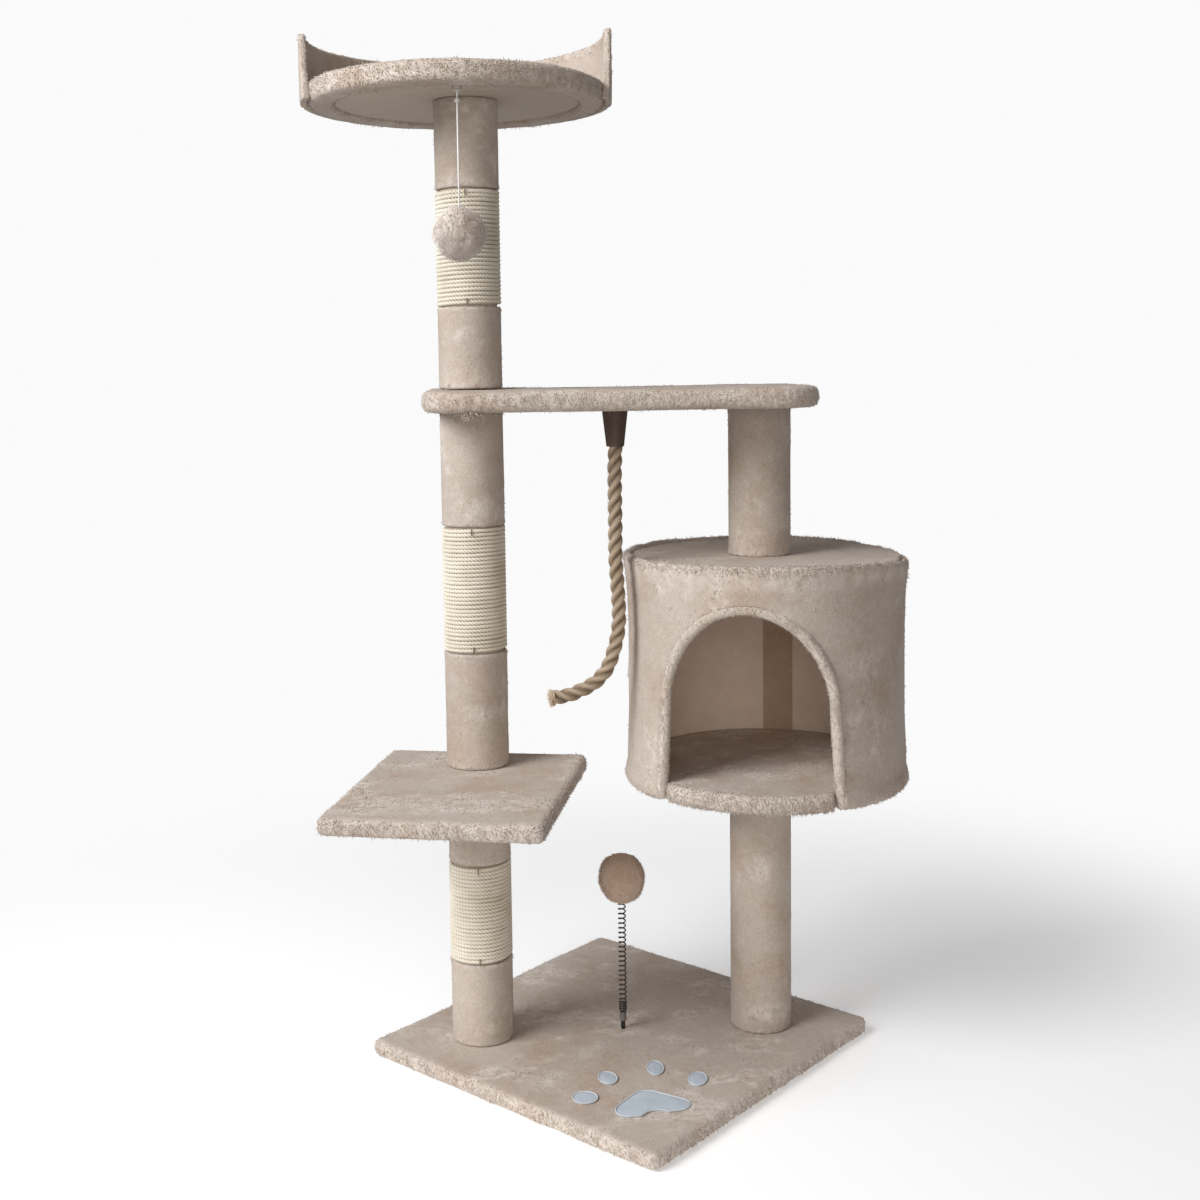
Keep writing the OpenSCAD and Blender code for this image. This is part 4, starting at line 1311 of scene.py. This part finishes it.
def support_ray(centre, d):
    """How far the pad reaches from its centre along d, to the hull of its lobes less its notch."""
    angles = np.linspace(0, 2 * np.pi, 72, endpoint=False)
    reach = 1e9
    for a in angles:
        n = np.array([math.cos(a), math.sin(a)])
        toward = n @ d
        if toward > 1e-3:
            wall = max(n @ np.array(lobe[:2]) + lobe[2] for lobe in PAW_LOBES)
            reach = min(reach, (wall - n @ centre) / toward)
    notch, r = np.array(PAW_NOTCH[:2]), PAW_NOTCH[2]
    along = (notch - centre) @ d
    off = np.linalg.norm(notch - centre - along * d)
    if along > 0 and off < r:
        reach = min(reach, along - math.sqrt(r * r - off * off))
    return reach


def toe_outline(x, y, a, b, turn, steps=48):
    c, s = math.cos(math.radians(turn)), math.sin(math.radians(turn))
    points = []
    for i in range(steps):
        u, v = a * math.cos(2 * math.pi * i / steps), b * math.sin(2 * math.pi * i / steps)
        points.append((x + c * u - s * v, y + s * u + c * v))
    return points


def make_paw():
    """Felt shapes, each a little crowned, with a satin-stitched edge."""
    z = top("base_cover")
    outlines = [toe_outline(x, y, 0.9 * a, 0.9 * b, turn) for x, y, a, b, turn in PAW_TOES] + [pad_outline()]
    felt, stitches = [], []
    for outline in outlines:
        edge = np.array(outline) * MM
        centre = edge.mean(0)
        verts = []
        rings = [(1.0, -1.0), (1.0, 0.5), (0.93, 1.0), (0.7, 1.5), (0.4, 1.7), (0.12, 1.75)]
        for scale, height in rings:
            for p in centre + (edge - centre) * scale:
                verts.append((p[0], p[1], z + height * MM * 0.9))
        felt.append((verts, ring_faces(len(rings), len(edge))))
        loop = np.vstack([edge, edge[:2]])
        path = smooth_line(np.column_stack([loop, np.full(len(loop), z + 1.0 * MM)]), 0.7 * MM)

        def radius(angle, run):
            return (0.7 + 0.2 * np.cos(2 * np.pi * run / (1.5 * MM) + 1.2 * angle)) * MM

        stitches.append(swept(path, radius, 8, (0, 0, 1))[:2])
    paw = shade_smooth(joined("paw_felt_shapes", felt))
    dress(paw, "stand", "paw_felt", PAW, "paw_applique")
    edge_piece = shade_smooth(joined("paw_stitched_edge", stitches))
    dress(edge_piece, "stand", "paw_felt", PAW_STITCH)


make_paw()


# ---------- floor and light ----------


def make_floor():
    """A plain pale floor round the base that fades out into the pale surroundings."""
    bpy.ops.mesh.primitive_plane_add(size=8, location=(0, 0, -0.4 * MM))
    floor = bpy.context.object
    floor.name = "floor"
    material, tree, shader = new_material("floor", 0.9)
    shader.inputs["Base Color"].default_value = (0.86, 0.86, 0.86, 1)
    shader.inputs["Emission Color"].default_value = (1, 1, 1, 1)
    shader.inputs["Emission Strength"].default_value = 0.3
    away = node(tree, "VectorMath", {0: place_of(tree)}, operation="LENGTH").outputs["Value"]
    fade = node(tree, "MapRange", {0: away, 1: 0.42, 2: 1.3}, interpolation_type="SMOOTHERSTEP").outputs[0]
    clear = node(tree, "BsdfTransparent")
    output = next(n for n in tree.nodes if n.type == "OUTPUT_MATERIAL")
    mixed = node(tree, "MixShader", {0: fade, 1: shader.outputs[0], 2: clear.outputs[0]})
    tree.links.new(mixed.outputs[0], output.inputs[0])
    floor.data.materials.append(material)


def area_light(name, at, target, width, power, colour):
    data = bpy.data.lights.new(name, "AREA")
    data.shape = "DISK"
    data.size = width
    data.energy = power
    data.color = colour
    light = bpy.data.objects.new(name, data)
    bpy.context.scene.collection.objects.link(light)
    light.location = at
    light.rotation_mode = "QUATERNION"
    light.rotation_quaternion = (Vector(target) - Vector(at)).to_track_quat("-Z", "Y")


def make_light():
    world = bpy.data.worlds.new("world")
    bpy.context.scene.world = world
    world.use_nodes = True
    tree = world.node_tree
    tree.nodes.clear()
    output = tree.nodes.new("ShaderNodeOutputWorld")
    seen = node(tree, "Background", {"Color": (1, 1, 1, 1), "Strength": 0.96})
    given = node(tree, "Background", {"Color": (0.97, 0.98, 1.0, 1), "Strength": 0.23})
    rays = node(tree, "LightPath")
    inputs = {0: rays.outputs["Is Camera Ray"], 1: given.outputs[0], 2: seen.outputs[0]}
    chosen = node(tree, "MixShader", inputs)
    tree.links.new(chosen.outputs[0], output.inputs[0])
    window, room = (-2.2, -1.3, 2.2), (-0.3, -3.0, 0.9)
    area_light("window", window, target=(0, 0, 0.6), width=1.8, power=98, colour=(0.97, 0.985, 1.0))
    area_light("room", room, target=(0, 0, 0.5), width=1.6, power=18, colour=(1.0, 0.90, 0.81))


make_floor()
make_light()
bpy.context.scene.view_settings.view_transform = "Standard"
